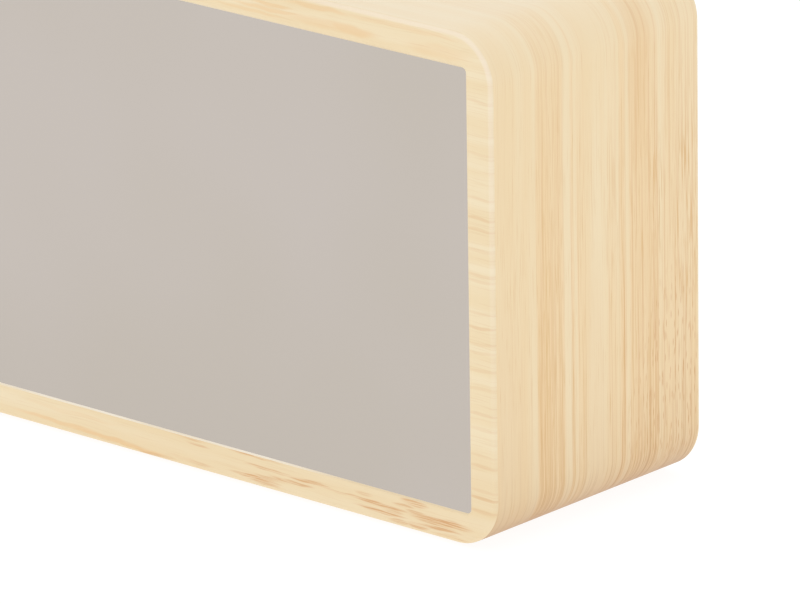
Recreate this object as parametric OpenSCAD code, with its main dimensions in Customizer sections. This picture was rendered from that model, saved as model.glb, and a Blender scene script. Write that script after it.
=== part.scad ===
// Digital alarm clock: a wooden case wrapped in bamboo, a half-mirror front and a moulded rear cover.
// +X is the clock's right seen from the front, +Y points to the rear, +Z is up. Sizes are millimetres.
// The origin lies under the middle of the clock, on the surface that it stands on.

/* [Wooden case] */
// Width of the case
case_w = 150; // [136:1:180]
// Height of the case, without its pads
case_h = 70; // [68:1:90]
// Depth of the case, front to rear
case_d = 42; // [38:1:60]
// Radius of the four long corners
corner_r = 6.8; // [4:0.1:8]
// Rounding of the outer front and rear edges
edge_r = 0.6; // [0.4:0.1:1.2]
// Width of the front frame at each side
rail_side = 4.3; // [4.2:0.1:6]
// Width of the front frame at the top
rail_top = 4.5; // [4:0.1:5.4]
// Width of the front frame at the bottom
rail_bottom = 4.5; // [4:0.1:5]
// Bevel on the inner edge of the front frame
frame_bevel = 0.2; // [0.1:0.05:0.4]
// Ledge behind the front frame, which stops the chassis
ledge = 1; // [0.8:0.1:1.4]
// Side of the square wooden blocks glued into the corners
block_w = 8; // [7:0.1:8.4]
// Radius of a pad under the case
pad_r = 4; // [3:0.1:5]
// Thickness of a pad
pad_t = 1; // [0.8:0.1:1.4]
// Height of a pad that stands out of the case
pad_proud = 0.5; // [0.3:0.1:0.7]
// Distance from the case's side to a pad's centre
pad_inset = 14; // [12:0.5:20]

/* [Mirror and display] */
// Depth of the mirror behind the front face
mirror_recess = 0.2; // [0.1:0.05:1]
// Thickness of the mirror
mirror_t = 2; // [1.5:0.1:3]
// Thickness of the black mask behind the mirror
mask_t = 0.5; // [0.3:0.1:0.8]
// Gap round the pieces that drop into a wooden opening
drop_gap = 0.05; // [0.03:0.01:0.2]
// Height of a digit
digit_h = 32; // [26:0.5:33]
// Width of a digit
digit_w = 19; // [16:0.5:20]
// Distance from one digit to the next
digit_pitch = 25; // [23.5:0.5:26]
// Extra distance at the colon
colon_room = 8; // [6:0.5:9]
// Slant of the digits, in degrees
digit_slant = 6; // [0:0.5:8]
// Thickness of a bar of a digit
bar_t = 3.6; // [3:0.1:4]
// Gap between neighbouring bars
bar_gap = 0.9; // [0.7:0.1:1.2]
// Radius of a colon dot
colon_r = 1.8; // [1.4:0.1:2]
// Depth of the reflector block
reflector_t = 7; // [6:0.1:8]
// Border of the reflector round the digits
reflector_rim = 4; // [4:0.1:5]
// Thickness of the diffusers at the front of the reflector
diffuser_t = 3; // [2:0.1:4]
// Thickness of the chassis plate
chassis_t = 2; // [1.6:0.1:2.4]

/* [Circuit boards] */
// Thickness of a circuit board
board_t = 1.6; // [1.2:0.1:2]
// Radius of a post that carries a board
post_r = 2.5; // [2.2:0.1:2.8]
// Radius of a board screw's shank
board_screw_r = 0.8; // [0.7:0.05:0.9]
// Length of a board screw under its head
board_screw_l = 5; // [4.5:0.1:5.4]
// Width of the ribbon cable
ribbon_w = 10; // [6:0.5:12]
// Thickness of the ribbon cable
ribbon_t = 0.3; // [0.2:0.05:0.4]

/* [Rear cover] */
// Thickness of the cover
cover_t = 2; // [1.8:0.1:2.4]
// Depth of the cover's outer face inside the case's rear edge
cover_inset = 1.5; // [1:0.1:2]
// Gap round the cover
cover_gap = 0.2; // [0.15:0.01:0.3]
// Radius of a cover screw's shank
cover_screw_r = 1.3; // [1.1:0.05:1.5]
// Length of a cover screw
cover_screw_l = 12; // [8:0.5:14]
// Length of the posts between the cover and the key board
key_post_l = 7; // [6.6:0.1:8]

/* [Keys] */
// Radius of a key
key_r = 3.6; // [3:0.1:4]
// Distance between keys
key_pitch = 12; // [11.5:0.5:13]
// Height of a key above the cover
key_proud = 0.6; // [0.3:0.1:0.8]
// Gap round a key
key_gap = 0.2; // [0.15:0.01:0.3]
// Depth of the finger dish in a key
key_dish = 0.2; // [0.1:0.05:0.3]
// Travel of a key
key_travel = 0.5; // [0.3:0.05:0.6]

/* [Battery bay] */
// Diameter of a cell
cell_d = 10.5; // [10:0.1:10.6]
// Length of a cell with its nub
cell_l = 44.5; // [42:0.5:45]
// Room between neighbouring cells
cell_room = 0.5; // [0.4:0.1:0.6]
// Length of a contact spring between its plate and the cell
spring_l = 4.8; // [4.6:0.1:5.4]
// Diameter of the spring wire
spring_wire = 0.6; // [0.5:0.05:0.6]
// Turns of a contact spring
spring_turns = 3.5; // [3:0.5:3.5]
// Thickness of a contact plate
plate_t = 0.4; // [0.3:0.05:0.5]
// Thickness of the bay's walls
bay_wall = 2.4; // [2.2:0.1:2.6]
// Thickness of the bay's floor
bay_floor = 1.5; // [1.2:0.1:2]
// Thickness of the battery door
door_t = 1.6; // [1.4:0.1:1.7]
// Gap round the battery door
door_gap = 0.25; // [0.2:0.01:0.3]
// Depth of the battery door's face below the cover's face
door_sink = 0.3; // [0.2:0.05:0.4]
// Overlap of the door on the bay's walls
door_lap = 1.2; // [1:0.1:1.3]
// Radius of the door's hinge barrel
barrel_r = 1; // [0.9:0.05:1]
// Radius of the door's hinge pins
pin_r = 0.6; // [0.5:0.05:0.6]
// Length of a hinge pin beyond the barrel
pin_l = 1.1; // [0.9:0.05:1.1]

/* [Hidden] */
$fn = 64;
eps = 0.01;

// Layers from the front to the rear
front_y = -case_d / 2;
rear_y = case_d / 2;
mirror_y = front_y + mirror_recess;
mask_y = mirror_y + mirror_t;
chassis_y = mask_y + mask_t;
chassis_back = chassis_y + chassis_t;
board_y = chassis_y + reflector_t;
board_back = board_y + board_t;
cover_out = rear_y - cover_inset;
cover_in = cover_out - cover_t;
screw_sink = 0.1;
seat_gap = 0.03;

// Opening of the front frame, and the wider cavity behind it
open_w = case_w - 2 * rail_side;
open_h = case_h - rail_top - rail_bottom;
cavity_w = open_w + 2 * ledge;
cavity_h = open_h + 2 * ledge;
mid_z = pad_proud + rail_bottom + open_h / 2;

// Display
colon_x = (digit_pitch + colon_room) / 2;
digit_x = [-colon_x - digit_pitch, -colon_x, colon_x, colon_x + digit_pitch];
bar_x = (digit_w - bar_t) / 2;
bar_z = (digit_h - bar_t) / 2;
digit_bars = [
    [[0, bar_z], bar_x, true], [[0, 0], bar_x, true], [[0, -bar_z], bar_x, true],
    [[bar_x, bar_z / 2], bar_z / 2, false], [[bar_x, -bar_z / 2], bar_z / 2, false],
    [[-bar_x, bar_z / 2], bar_z / 2, false], [[-bar_x, -bar_z / 2], bar_z / 2, false]];
colon_z = digit_h / 5;
diffuser_gap = 0.08;
mask_lap = 0.3;
reflector_w = 2 * (colon_x + digit_pitch + digit_w / 2 + reflector_rim + 1);
reflector_h = digit_h + 2 * reflector_rim;
window_gap = 0.2;
peg_r = 1;
peg_x = reflector_w / 2 - peg_r - 1;
led_w = 1.6;
led_l = 3;
led_t = 0.9;

// Main board
board_edge = 0.4;
post_x = reflector_w / 2 - 8;
post_z = reflector_h / 2 + window_gap + post_r + 0.4;
board_w = reflector_w + 4;
board_h = 2 * (post_z + post_r + board_edge);
board_hole_r = board_screw_r + 0.3;
board_head_r = 1.9;
board_head_t = 1.3;
pilot_gap = 0.04;
skirt_t = 1.5;
skirt_d = 6;
chip_w = 17;
chip_h = 7.5;
chip_t = 2.3;
chip_lift = 0.2;
chip_place = [-12, 6];
chip_pins = 12;
chip_pin_pitch = 1.27;
chip_pin_w = 0.4;
chip_pin_t = 0.25;
chip_pin_rise = 1.3;
chip_pin_reach = 1.35;
chip_foot_l = 0.75;
crystal_w = 10.2;
crystal_h = 3.9;
crystal_t = 3.6;
crystal_foot = 0.5;
crystal_place = [6, 6];
capacitor_r = 3.15;
capacitor_h = 8;
capacitor_vent = 0.3;
capacitor_place = [-32, 14];
coin_r = 6.25;
coin_t = 1.4;
coin_cap_r = 5.4;
coin_cap_t = 0.5;
coin_place = [-12, -12];
clip_t = 0.3;
clip_base_t = 0.6;
clip_w = 4;
clip_arm_x = coin_r + 0.75;
resistor_w = 1.2;
resistor_l = 2;
resistor_t = 0.5;
resistor_pitch = [3, 4];
resistor_place = [8, 14];

// Key board and what stands on it
key_face = cover_in - key_post_l;
key_back = key_face - board_t;
key_count = 4;
key_board_rim = 6;
key_board_w = (key_count - 1) * key_pitch + 2 * key_board_rim;
key_board_h = 42;
block_gap = 0.6;
key_board_x = cavity_w / 2 - block_w - block_gap - key_board_w / 2;
key_post_x = key_board_w / 2 - post_r - board_edge;
key_post_z = key_board_h / 2 - post_r - board_edge;
key_z = mid_z + 10;
key_play = 0.1;
key_edge = 0.5;
dish_a = key_r - 2 * key_edge;
dish_r = (dish_a * dish_a + key_dish * key_dish) / (2 * key_dish);
flange_r = key_r + 1;
flange_t = 0.8;
switch_w = 6;
switch_h = 3.5;
plunger_r = 1.7;
plunger_gap = 0.12;
plunger_out = 0.9;
plunger_in = 0.7;
plunger_tip = key_face + switch_h + plunger_out;
flange_back = cover_in - key_play - flange_t;
buzzer_r = 6;
buzzer_h = key_post_l - 0.4;
buzzer_x = key_board_x - 12;
buzzer_z = mid_z - 9;
slot_pitch = 2.8;
slot_w = 1.3;
usb_x = key_board_x + 13;
usb_z = mid_z - 10;
usb_w = 8.94;
usb_h = 3.26;
usb_wall = 0.3;
usb_gap = 0.2;
usb_mouth = cover_out - 0.2;

// Ribbon cable between the two boards
socket_h = 3;
socket_t = 2.5;
socket_rim = 1.2;
socket_z = mid_z - 16;
ribbon_front = board_back + socket_t / 2;
ribbon_rear = key_back - socket_t / 2;
ribbon_r = (ribbon_rear - ribbon_front) / 2;
ribbon_run = 12;

// Battery bay
cell_count = 4;
cell_pitch = cell_d + cell_room;
cell_gap = 0.15;
nub_r = 1.9;
nub_l = 1;
contact_gap = 0.02;
plate_margin = 1;
bay_w = cell_l + spring_l + 2 * plate_t + 2 * contact_gap;
bay_h = cell_count * cell_pitch + cell_room;
bay_x = -cavity_w / 2 + block_w + block_gap + bay_wall + bay_w / 2;
bay_z = mid_z - 2.5;
rebate_w = bay_w + 2 * door_lap;
rebate_h = bay_h + 2 * door_lap;
rebate_d = door_sink + door_t + 0.2;
bay_in = cover_out - rebate_d - 0.5 - cell_d - cell_gap;
cell_y = bay_in + cell_gap + cell_d / 2;
saddle_h = 2.2;
saddle_t = 1.6;
door_w = rebate_w - 2 * door_gap;
door_bottom = bay_z - rebate_h / 2 + door_gap;
door_top = bay_z + rebate_h / 2 - door_gap;
hinge_y = cover_out - barrel_r;
hinge_z = door_bottom + barrel_r;
pin_gap = 0.05;
latch_w = 12;
latch_t = 0.9;
latch_bend = 0.8;
latch_reach = 6;
latch_nose = 0.5;
latch_room = 0.9;
latch_top = door_top + 2 * latch_bend + latch_t;
pocket_wall = 1.3;

// Battery leads, from the end contacts to the main board
lead_r = 0.6;
lead_gap = 0.15;
lead_bend = 2.4;
lead_run = 0.8;

// Places that several pieces share

function key_x(i) = key_board_x + (i - (key_count - 1) / 2) * key_pitch;
function cell_z(i) = bay_z + ((cell_count - 1) / 2 - i) * cell_pitch;
// Side of the bay that a cell's nub points to: 1 is towards the middle of the clock
function nub_side(i) = i % 2 == 0 ? 1 : -1;

// Draws its children at each sign of x and z, in all four corners
module corners(x, z) {
    for (sx = [-1, 1], sz = [-1, 1])
        translate([sx * x, 0, mid_z + sz * z]) children();
}

// Extrudes a drawing of the front view from one depth to another
module slab(y0, y1) {
    translate([0, y1, 0]) rotate([90, 0, 0]) linear_extrude(height = y1 - y0) children();
}

// Turns a shape that stands along Z so that it points to the rear
module to_rear() {
    rotate([-90, 0, 0]) children();
}

module round_rod(r, y0, y1) {
    translate([0, y0, 0]) to_rear() cylinder(r = r, h = y1 - y0);
}

module rounded_rect(w, h, r) {
    square([w - 2 * r, h], center = true);
    square([w, h - 2 * r], center = true);
    for (sx = [-1, 1], sy = [-1, 1])
        translate([sx * (w / 2 - r), sy * (h / 2 - r)]) circle(r = r);
}

module stadium(w, h) {
    square([w - h, h], center = true);
    for (s = [-1, 1])
        translate([s * (w - h) / 2, 0]) circle(r = h / 2);
}

// Half outline of a turned piece whose far edge is rounded
module turned_outline(r, h, e) {
    square([r, h - e]);
    square([r - e, h]);
    translate([r - e, h - e]) circle(r = e);
}

// Digits

function slanted(p) = [p[0] + p[1] * tan(digit_slant), p[1]];

// Outline of one bar of a digit, pointed at both ends and drawn in by inset
function bar_points(bar, inset) =
    let (b = bar_t / 2 - inset, a = bar[1] - bar_gap / 2 - inset * sqrt(2))
    [for (p = [[-a, 0], [b - a, b], [a - b, b], [a, 0], [a - b, -b], [b - a, -b]])
        slanted(bar[0] + (bar[2] ? p : [p[1], p[0]]))];

module digit_faces(inset) {
    for (x = digit_x, bar = digit_bars)
        translate([x, mid_z]) polygon(bar_points(bar, inset));
    for (s = [-1, 1])
        translate([0, mid_z]) translate(slanted([0, s * colon_z])) circle(r = colon_r - inset);
}

// Wooden case

module case_block() {
    straight_w = case_w - 2 * corner_r;
    straight_h = case_h - 2 * corner_r;
    translate([0, 0, pad_proud + case_h / 2]) {
        translate([-straight_w / 2, 0, 0]) rotate([90, 0, 90])
            linear_extrude(height = straight_w) rounded_rect(case_d, case_h, edge_r);
        translate([0, 0, -straight_h / 2])
            linear_extrude(height = straight_h) rounded_rect(case_w, case_d, edge_r);
        for (sx = [-1, 1], sz = [-1, 1])
            translate([sx * straight_w / 2, 0, sz * straight_h / 2]) to_rear() case_corner();
    }
}

module case_corner() {
    rotate_extrude() {
        translate([0, -case_d / 2 + edge_r]) square([corner_r, case_d - 2 * edge_r]);
        translate([0, -case_d / 2]) square([corner_r - edge_r, case_d]);
        for (s = [-1, 1])
            translate([corner_r - edge_r, s * (case_d / 2 - edge_r)]) circle(r = edge_r);
    }
}

module window_rect(w, h) {
    translate([0, mid_z]) square([w, h], center = true);
}

module pad_places() {
    for (sx = [-1, 1], sy = [-1, 1])
        translate([sx * (case_w / 2 - pad_inset), sy * (case_d / 2 - pad_r - 5), 0]) children();
}

module wood_case() {
    color("burlywood") difference() {
        case_block();
        slab(front_y - 1, chassis_y + eps) window_rect(open_w, open_h);
        hull() {
            slab(front_y - eps, front_y) window_rect(open_w + 2 * frame_bevel, open_h + 2 * frame_bevel);
            slab(front_y + frame_bevel, front_y + frame_bevel + eps) window_rect(open_w, open_h);
        }
        slab(chassis_y, rear_y + 1) window_rect(cavity_w, cavity_h);
        pad_places() cylinder(r = pad_r + drop_gap, h = pad_t);
    }
}

module corner_blocks() {
    color("tan") corners((cavity_w - block_w) / 2, (cavity_h - block_w) / 2) difference() {
        slab(chassis_back, cover_in) square(block_w, center = true);
        round_rod(cover_screw_r + pilot_gap, cover_out - cover_screw_l - 1, cover_in + 1);
    }
}

module foot_pads() {
    color("gainsboro") pad_places() {
        cylinder(r = pad_r - 0.3, h = pad_t);
        translate([0, 0, 0.3]) cylinder(r = pad_r, h = pad_t - 0.3);
    }
}

// Mirror and display

// A sheet that drops into the front opening and stands on its lower edge
module dropped_sheet() {
    translate([0, -drop_gap]) window_rect(open_w - 2 * drop_gap, open_h - 2 * drop_gap);
}

module mirror_panel() {
    color("silver") slab(mirror_y, mask_y) dropped_sheet();
}

module light_mask() {
    color("black") slab(mask_y, chassis_y) difference() {
        dropped_sheet();
        digit_faces(mask_lap);
    }
}

module inner_chassis() {
    plate_w = cavity_w - 2 * drop_gap;
    plate_h = cavity_h - 2 * drop_gap;
    color("dimgray") {
        slab(chassis_y, chassis_back) difference() {
            window_rect(plate_w, plate_h);
            window_rect(reflector_w + 2 * window_gap, reflector_h + 2 * window_gap);
        }
        corners(post_x, post_z) difference() {
            round_rod(post_r, chassis_back - eps, board_y);
            round_rod(board_screw_r + pilot_gap, chassis_back, board_y + 1);
        }
        slab(chassis_back - eps, chassis_back + skirt_d) difference() {
            window_rect(plate_w, plate_h);
            window_rect(plate_w - 2 * skirt_t, plate_h - 2 * skirt_t);
            for (sx = [-1, 1], sz = [-1, 1])
                translate([sx * cavity_w / 2, mid_z + sz * cavity_h / 2])
                    square(2 * (block_w + 1), center = true);
        }
    }
}

module display_reflector() {
    color("dimgray") {
        slab(chassis_y, board_y) difference() {
            window_rect(reflector_w, reflector_h);
            digit_faces(0);
        }
        for (s = [-1, 1])
            translate([s * peg_x, 0, mid_z]) round_rod(peg_r, board_y - eps, board_back);
    }
}

module segment_diffusers() {
    color("ivory") slab(chassis_y, chassis_y + diffuser_t) digit_faces(diffuser_gap);
}

module segment_leds() {
    color("lightyellow") slab(board_y - led_t, board_y) {
        for (x = digit_x, bar = digit_bars)
            translate([x, mid_z]) translate(slanted(bar[0]))
                square(bar[2] ? [led_l, led_w] : [led_w, led_l], center = true);
        for (s = [-1, 1])
            translate([0, mid_z]) translate(slanted([0, s * colon_z])) square(led_w, center = true);
    }
}

// Circuit boards

// A screw that enters from the rear, its head resting on depth y
module rear_screw(y, r, l, head_r, head_t) {
    round_rod(r, y - l, y + eps);
    translate([0, y, 0]) to_rear() difference() {
        rotate_extrude() turned_outline(head_r, head_t, head_t / 3);
        for (a = [0, 90])
            rotate(a) translate([0, 0, head_t]) cube([head_r * 1.2, head_r / 4, head_t], center = true);
    }
}

module main_board() {
    color("darkgreen") difference() {
        slab(board_y, board_back) window_rect(board_w, board_h);
        corners(post_x, post_z) round_rod(board_hole_r, board_y - 1, board_back + 1);
        for (s = [-1, 1])
            translate([s * peg_x, 0, mid_z]) round_rod(peg_r + pilot_gap, board_y - 1, board_back + 1);
    }
}

module board_screws() {
    color("silver") corners(post_x, post_z)
        rear_screw(board_back, board_screw_r, board_screw_l, board_head_r, board_head_t);
}

// Puts a part on the rear of the main board, at a place measured from the middle of the window
module on_board(place) {
    translate([place[0], board_back, mid_z + place[1]]) children();
}

// Outline of a gull-wing pin, in depth and height: foot on the board, shoulder at the body
function chip_pin(side) =
    let (root = chip_h / 2 - 0.05, knee = chip_h / 2 + chip_pin_reach - chip_foot_l)
    [for (p = [
        [0, knee + chip_foot_l], [chip_pin_t, knee + chip_foot_l], [chip_pin_t, knee + chip_pin_t],
        [chip_pin_rise, knee - chip_pin_t], [chip_pin_rise, root], [chip_pin_rise - chip_pin_t, root],
        [chip_pin_rise - chip_pin_t, knee - chip_pin_t], [0, knee]]) [p[0], side * p[1]]];

module clock_chip() {
    on_board(chip_place) {
        color("black") translate([0, chip_lift + chip_t / 2, 0]) cube([chip_w, chip_t, chip_h], center = true);
        color("silver") for (i = [0 : chip_pins - 1], side = [-1, 1])
            translate([(i - (chip_pins - 1) / 2) * chip_pin_pitch - chip_pin_w / 2, 0, 0]) rotate([90, 0, 90])
                linear_extrude(height = chip_pin_w) polygon(chip_pin(side));
    }
}

module quartz_crystal() {
    color("silver") on_board(crystal_place) {
        slab(0, crystal_foot) stadium(crystal_w + 2 * crystal_foot, crystal_h + 2 * crystal_foot);
        slab(crystal_foot - eps, crystal_t) stadium(crystal_w, crystal_h);
    }
}

module filter_capacitor() {
    color("midnightblue") on_board(capacitor_place) to_rear() difference() {
        rotate_extrude() turned_outline(capacitor_r, capacitor_h, 2 * capacitor_vent);
        for (a = [0, 90])
            rotate(a) translate([0, 0, capacitor_h])
                cube([1.3 * capacitor_r, capacitor_vent, capacitor_vent], center = true);
    }
}

module backup_cell() {
    color("lightgray") on_board(coin_place) translate([0, clip_base_t, 0]) to_rear() {
        rotate_extrude() turned_outline(coin_r, coin_t, 0.2);
        translate([0, 0, coin_t - eps]) cylinder(r = coin_cap_r, h = coin_cap_t);
    }
}

// Spring clip that holds the coin cell down on the board
module backup_cell_clip() {
    top = clip_base_t + coin_t + coin_cap_t;
    color("gold") on_board(coin_place) {
        slab(0, clip_base_t) stadium(2 * clip_arm_x + clip_w + 1, clip_w);
        slab(top, top + clip_t) stadium(2 * clip_arm_x + clip_w, clip_w);
        for (s = [-1, 1])
            translate([s * clip_arm_x, 0, 0]) slab(clip_base_t - eps, top + eps)
                square([2 * clip_t, clip_w], center = true);
    }
}

module chip_resistors() {
    color("dimgray") on_board(resistor_place) for (i = [0 : 7], j = [0, 1])
        translate([i * resistor_pitch[0], resistor_t / 2, j * resistor_pitch[1]])
            cube([resistor_w, resistor_t, resistor_l], center = true);
}

module ribbon_sockets() {
    length = ribbon_w + 2 * socket_rim;
    color("ivory") for (y = [board_back, key_back - socket_t])
        translate([key_board_x - length / 2, y, socket_z]) difference() {
            cube([length, socket_t, socket_h]);
            translate([socket_rim - 0.1, (socket_t - ribbon_t) / 2 - 0.05, 1])
                cube([ribbon_w + 0.2, ribbon_t + 0.1, socket_h]);
        }
}

module ribbon_cable() {
    bottom = socket_z + 1;
    turn_z = socket_z + socket_h + ribbon_run;
    color("whitesmoke") translate([key_board_x - ribbon_w / 2, 0, 0]) rotate([90, 0, 90])
        linear_extrude(height = ribbon_w) {
            for (y = [ribbon_front, ribbon_rear])
                translate([y - ribbon_t / 2, bottom]) square([ribbon_t, turn_z - bottom + eps]);
            translate([ribbon_front + ribbon_r, turn_z]) difference() {
                circle(r = ribbon_r + ribbon_t / 2);
                circle(r = ribbon_r - ribbon_t / 2);
                translate([-2 * ribbon_r, -4 * ribbon_r]) square(4 * ribbon_r);
            }
        }
}

module key_board_corners() {
    for (sx = [-1, 1], sz = [-1, 1])
        translate([key_board_x + sx * key_post_x, 0, mid_z + sz * key_post_z]) children();
}

module key_board() {
    color("darkgreen") difference() {
        slab(key_back, key_face) translate([key_board_x, mid_z])
            square([key_board_w, key_board_h], center = true);
        key_board_corners() round_rod(board_hole_r, key_back - 1, key_face + 1);
    }
}

// These screws enter from the front, so they are the board screws turned round
module key_board_screws() {
    color("silver") key_board_corners() mirror([0, 1, 0])
        rear_screw(-key_back, board_screw_r, board_screw_l, board_head_r, board_head_t);
}

module tact_switches() {
    color("dimgray") for (i = [0 : key_count - 1])
        translate([key_x(i), 0, key_z]) difference() {
            slab(key_face, key_face + switch_h) square(switch_w, center = true);
            round_rod(plunger_r + plunger_gap, key_face + switch_h - plunger_in - key_travel - 0.2,
                key_face + switch_h + 1);
        }
}

module plunger(i) {
    color("black") translate([key_x(i), 0, key_z])
        round_rod(plunger_r, key_face + switch_h - plunger_in, plunger_tip);
}

// Key cap: a dished button, a flange that holds it behind the cover and a stem on the switch
module key(i) {
    cap_y = flange_back + flange_t - eps;
    cap_h = cover_out + key_proud - cap_y;
    color("gray") translate([key_x(i), 0, key_z]) {
        round_rod(plunger_r + 0.1, plunger_tip, flange_back + eps);
        round_rod(flange_r, flange_back, flange_back + flange_t);
        translate([0, cap_y, 0]) to_rear() difference() {
            rotate_extrude() turned_outline(key_r, cap_h, key_edge);
            translate([0, 0, cap_h + dish_r - key_dish]) sphere(r = dish_r, $fn = 256);
        }
    }
}

module buzzer() {
    color("black") translate([buzzer_x, key_face, buzzer_z]) to_rear() difference() {
        rotate_extrude() turned_outline(buzzer_r, buzzer_h, 0.4);
        translate([0, 0, buzzer_h - 2]) cylinder(r = 1.2, h = 3);
    }
}

module usb_shell() {
    color("silver") translate([usb_x, 0, usb_z]) slab(key_face, usb_mouth) difference() {
        stadium(usb_w, usb_h);
        stadium(usb_w - 2 * usb_wall, usb_h - 2 * usb_wall);
    }
}

module usb_insert() {
    color("black") translate([usb_x, 0, usb_z]) {
        slab(key_face, key_face + 2) stadium(usb_w - 2 * usb_wall - 0.06, usb_h - 2 * usb_wall - 0.06);
        slab(key_face + 2 - eps, usb_mouth - 0.8) square([6.7, 0.7], center = true);
    }
}

// Rear cover

module bay_rect(w, h) {
    translate([bay_x, bay_z]) square([w, h], center = true);
}

// Low ribs across the bay's floor, hollowed to carry the cells
module cell_saddles() {
    difference() {
        for (s = [-1, 1])
            translate([bay_x + s * bay_w / 4, 0, bay_z]) slab(bay_in - eps, bay_in + saddle_h)
                square([saddle_t, bay_h + eps], center = true);
        for (i = [0 : cell_count - 1])
            translate([bay_x - bay_w / 2, cell_y, cell_z(i)]) rotate([0, 90, 0])
                cylinder(r = cell_d / 2 + cell_gap, h = bay_w);
    }
}

module latch_pocket_rect(grow) {
    w = latch_w + 2 * (latch_room + grow);
    bottom = door_top - latch_t - latch_room - grow;
    top = latch_top + latch_room + grow;
    translate([bay_x - w / 2, bottom]) square([w, top - bottom]);
}

module sound_slots() {
    for (i = [-2 : 2])
        translate([buzzer_x + i * slot_pitch, buzzer_z]) rotate(90)
            stadium(i % 2 == 0 ? 10 : 11, slot_w);
}

module cover_screw_places() {
    corners((cavity_w - block_w) / 2, (cavity_h - block_w) / 2) children();
}

module cover_body() {
    plate_w = cavity_w - 2 * cover_gap;
    plate_h = cavity_h - 2 * cover_gap;
    latch_depth = latch_reach + latch_bend + 2 * latch_t + latch_room;
    slab(cover_in, cover_out) translate([0, mid_z]) rounded_rect(plate_w, plate_h, 1);
    slab(cover_in - 3, cover_in + eps) difference() {
        window_rect(plate_w, plate_h);
        window_rect(plate_w - 3, plate_h - 3);
        for (sx = [-1, 1], sz = [-1, 1])
            translate([sx * cavity_w / 2, mid_z + sz * cavity_h / 2]) square(2 * (block_w + 0.6), center = true);
    }
    slab(bay_in - bay_floor, cover_in + eps) bay_rect(bay_w + 2 * bay_wall, bay_h + 2 * bay_wall);
    slab(cover_out - latch_depth - pocket_wall, cover_in + eps) latch_pocket_rect(pocket_wall);
    key_board_corners() round_rod(post_r, key_face, cover_in + eps);
}

module cover_cuts() {
    latch_depth = latch_reach + latch_bend + 2 * latch_t + latch_room;
    slab(bay_in, cover_out + 1) bay_rect(bay_w, bay_h);
    slab(cover_out - rebate_d, cover_out + 1) bay_rect(rebate_w, rebate_h);
    slab(cover_out - latch_depth, cover_out + 1) latch_pocket_rect(0);
    translate([bay_x, hinge_y, hinge_z]) rotate([0, 90, 0]) {
        cylinder(r = barrel_r + door_gap, h = rebate_w, center = true);
        cylinder(r = pin_r + pin_gap, h = rebate_w + 2 * pin_l, center = true);
    }
    key_board_corners() round_rod(board_screw_r + pilot_gap, key_face - 1, cover_in - 1);
    for (i = [0 : key_count - 1])
        translate([key_x(i), 0, key_z]) round_rod(key_r + key_gap, cover_in - 1, cover_out + 1);
    slab(cover_in - 1, cover_out + 1) {
        sound_slots();
        translate([usb_x, usb_z]) stadium(usb_w + 2 * usb_gap, usb_h + 2 * usb_gap);
    }
    cover_screw_places() {
        round_rod(cover_screw_r + 0.3, cover_in - 1, cover_out + 1);
        translate([0, cover_out - screw_sink - cover_screw_r, 0]) to_rear()
            cylinder(r1 = cover_screw_r + seat_gap, r2 = 2 * cover_screw_r + seat_gap + 1, h = cover_screw_r + 1);
    }
    for (s = [-1, 1])
        translate([bay_x + bay_w / 2 - 1, lead_y, s > 0 ? cell_z(0) : cell_z(cell_count - 1)])
            rotate([0, 90, 0]) cylinder(r = lead_r + lead_gap, h = bay_wall + 2);
}

module rear_cover() {
    color("antiquewhite") {
        difference() {
            cover_body();
            cover_cuts();
        }
        cell_saddles();
    }
}

// Countersunk screws that hold the cover on the corner blocks
module cover_screws() {
    head_face = cover_out - screw_sink;
    color("silver") cover_screw_places() difference() {
        union() {
            round_rod(cover_screw_r, cover_out - cover_screw_l, head_face);
            translate([0, head_face - cover_screw_r, 0]) to_rear()
                cylinder(r1 = cover_screw_r, r2 = 2 * cover_screw_r, h = cover_screw_r);
        }
        for (a = [0, 90])
            translate([0, cover_out, 0]) rotate([0, a, 0])
                cube([cover_screw_r * 2.4, cover_screw_r * 1.2, cover_screw_r / 2.5], center = true);
    }
}

// Battery bay

// Outline of the door's springy latch, in depth and height
module latch_outline() {
    bend_y = cover_out - latch_reach;
    bend_z = door_top + latch_bend;
    translate([bend_y, door_top - latch_t]) square([latch_reach - door_sink - door_t + eps, latch_t]);
    translate([bend_y, latch_top - latch_t]) square([latch_reach - door_sink, latch_t]);
    translate([cover_in - 0.6 - 2 * latch_nose, latch_top - latch_nose]) circle(r = 2 * latch_nose);
    translate([bend_y, bend_z]) difference() {
        circle(r = latch_bend + latch_t);
        circle(r = latch_bend);
        translate([0, -3 * latch_bend]) square(6 * latch_bend);
    }
}

module battery_door() {
    outer = cover_out - door_sink;
    color("antiquewhite") {
        difference() {
            slab(outer - door_t, outer) translate([bay_x - door_w / 2, hinge_z])
                square([door_w, door_top - hinge_z]);
            for (i = [0 : 3])
                translate([bay_x, outer, door_top - 4 - i * 2]) cube([latch_w, 0.6, 0.8], center = true);
        }
        translate([bay_x, hinge_y, hinge_z]) rotate([0, 90, 0]) {
            cylinder(r = barrel_r, h = door_w, center = true);
            cylinder(r = pin_r, h = door_w + 2 * pin_l, center = true);
        }
        translate([bay_x - latch_w / 2, 0, 0]) rotate([90, 0, 90])
            linear_extrude(height = latch_w) latch_outline();
    }
}

module battery_cells() {
    can_l = cell_l - nub_l;
    color("seagreen") for (i = [0 : cell_count - 1])
        translate([bay_x - nub_side(i) * (bay_w / 2 - plate_t - contact_gap - spring_l), cell_y, cell_z(i)])
            rotate([0, nub_side(i) * 90, 0]) {
                rotate_extrude() {
                    turned_outline(cell_d / 2, can_l, 0.6);
                    square([nub_r, cell_l]);
                }
            }
}

// Each row is a plate: the side of the bay it stands on, then its first and last cell
plate_rows = [[1, 0, 0], [1, 1, 2], [1, 3, 3], [-1, 0, 1], [-1, 2, 3]];

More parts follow.
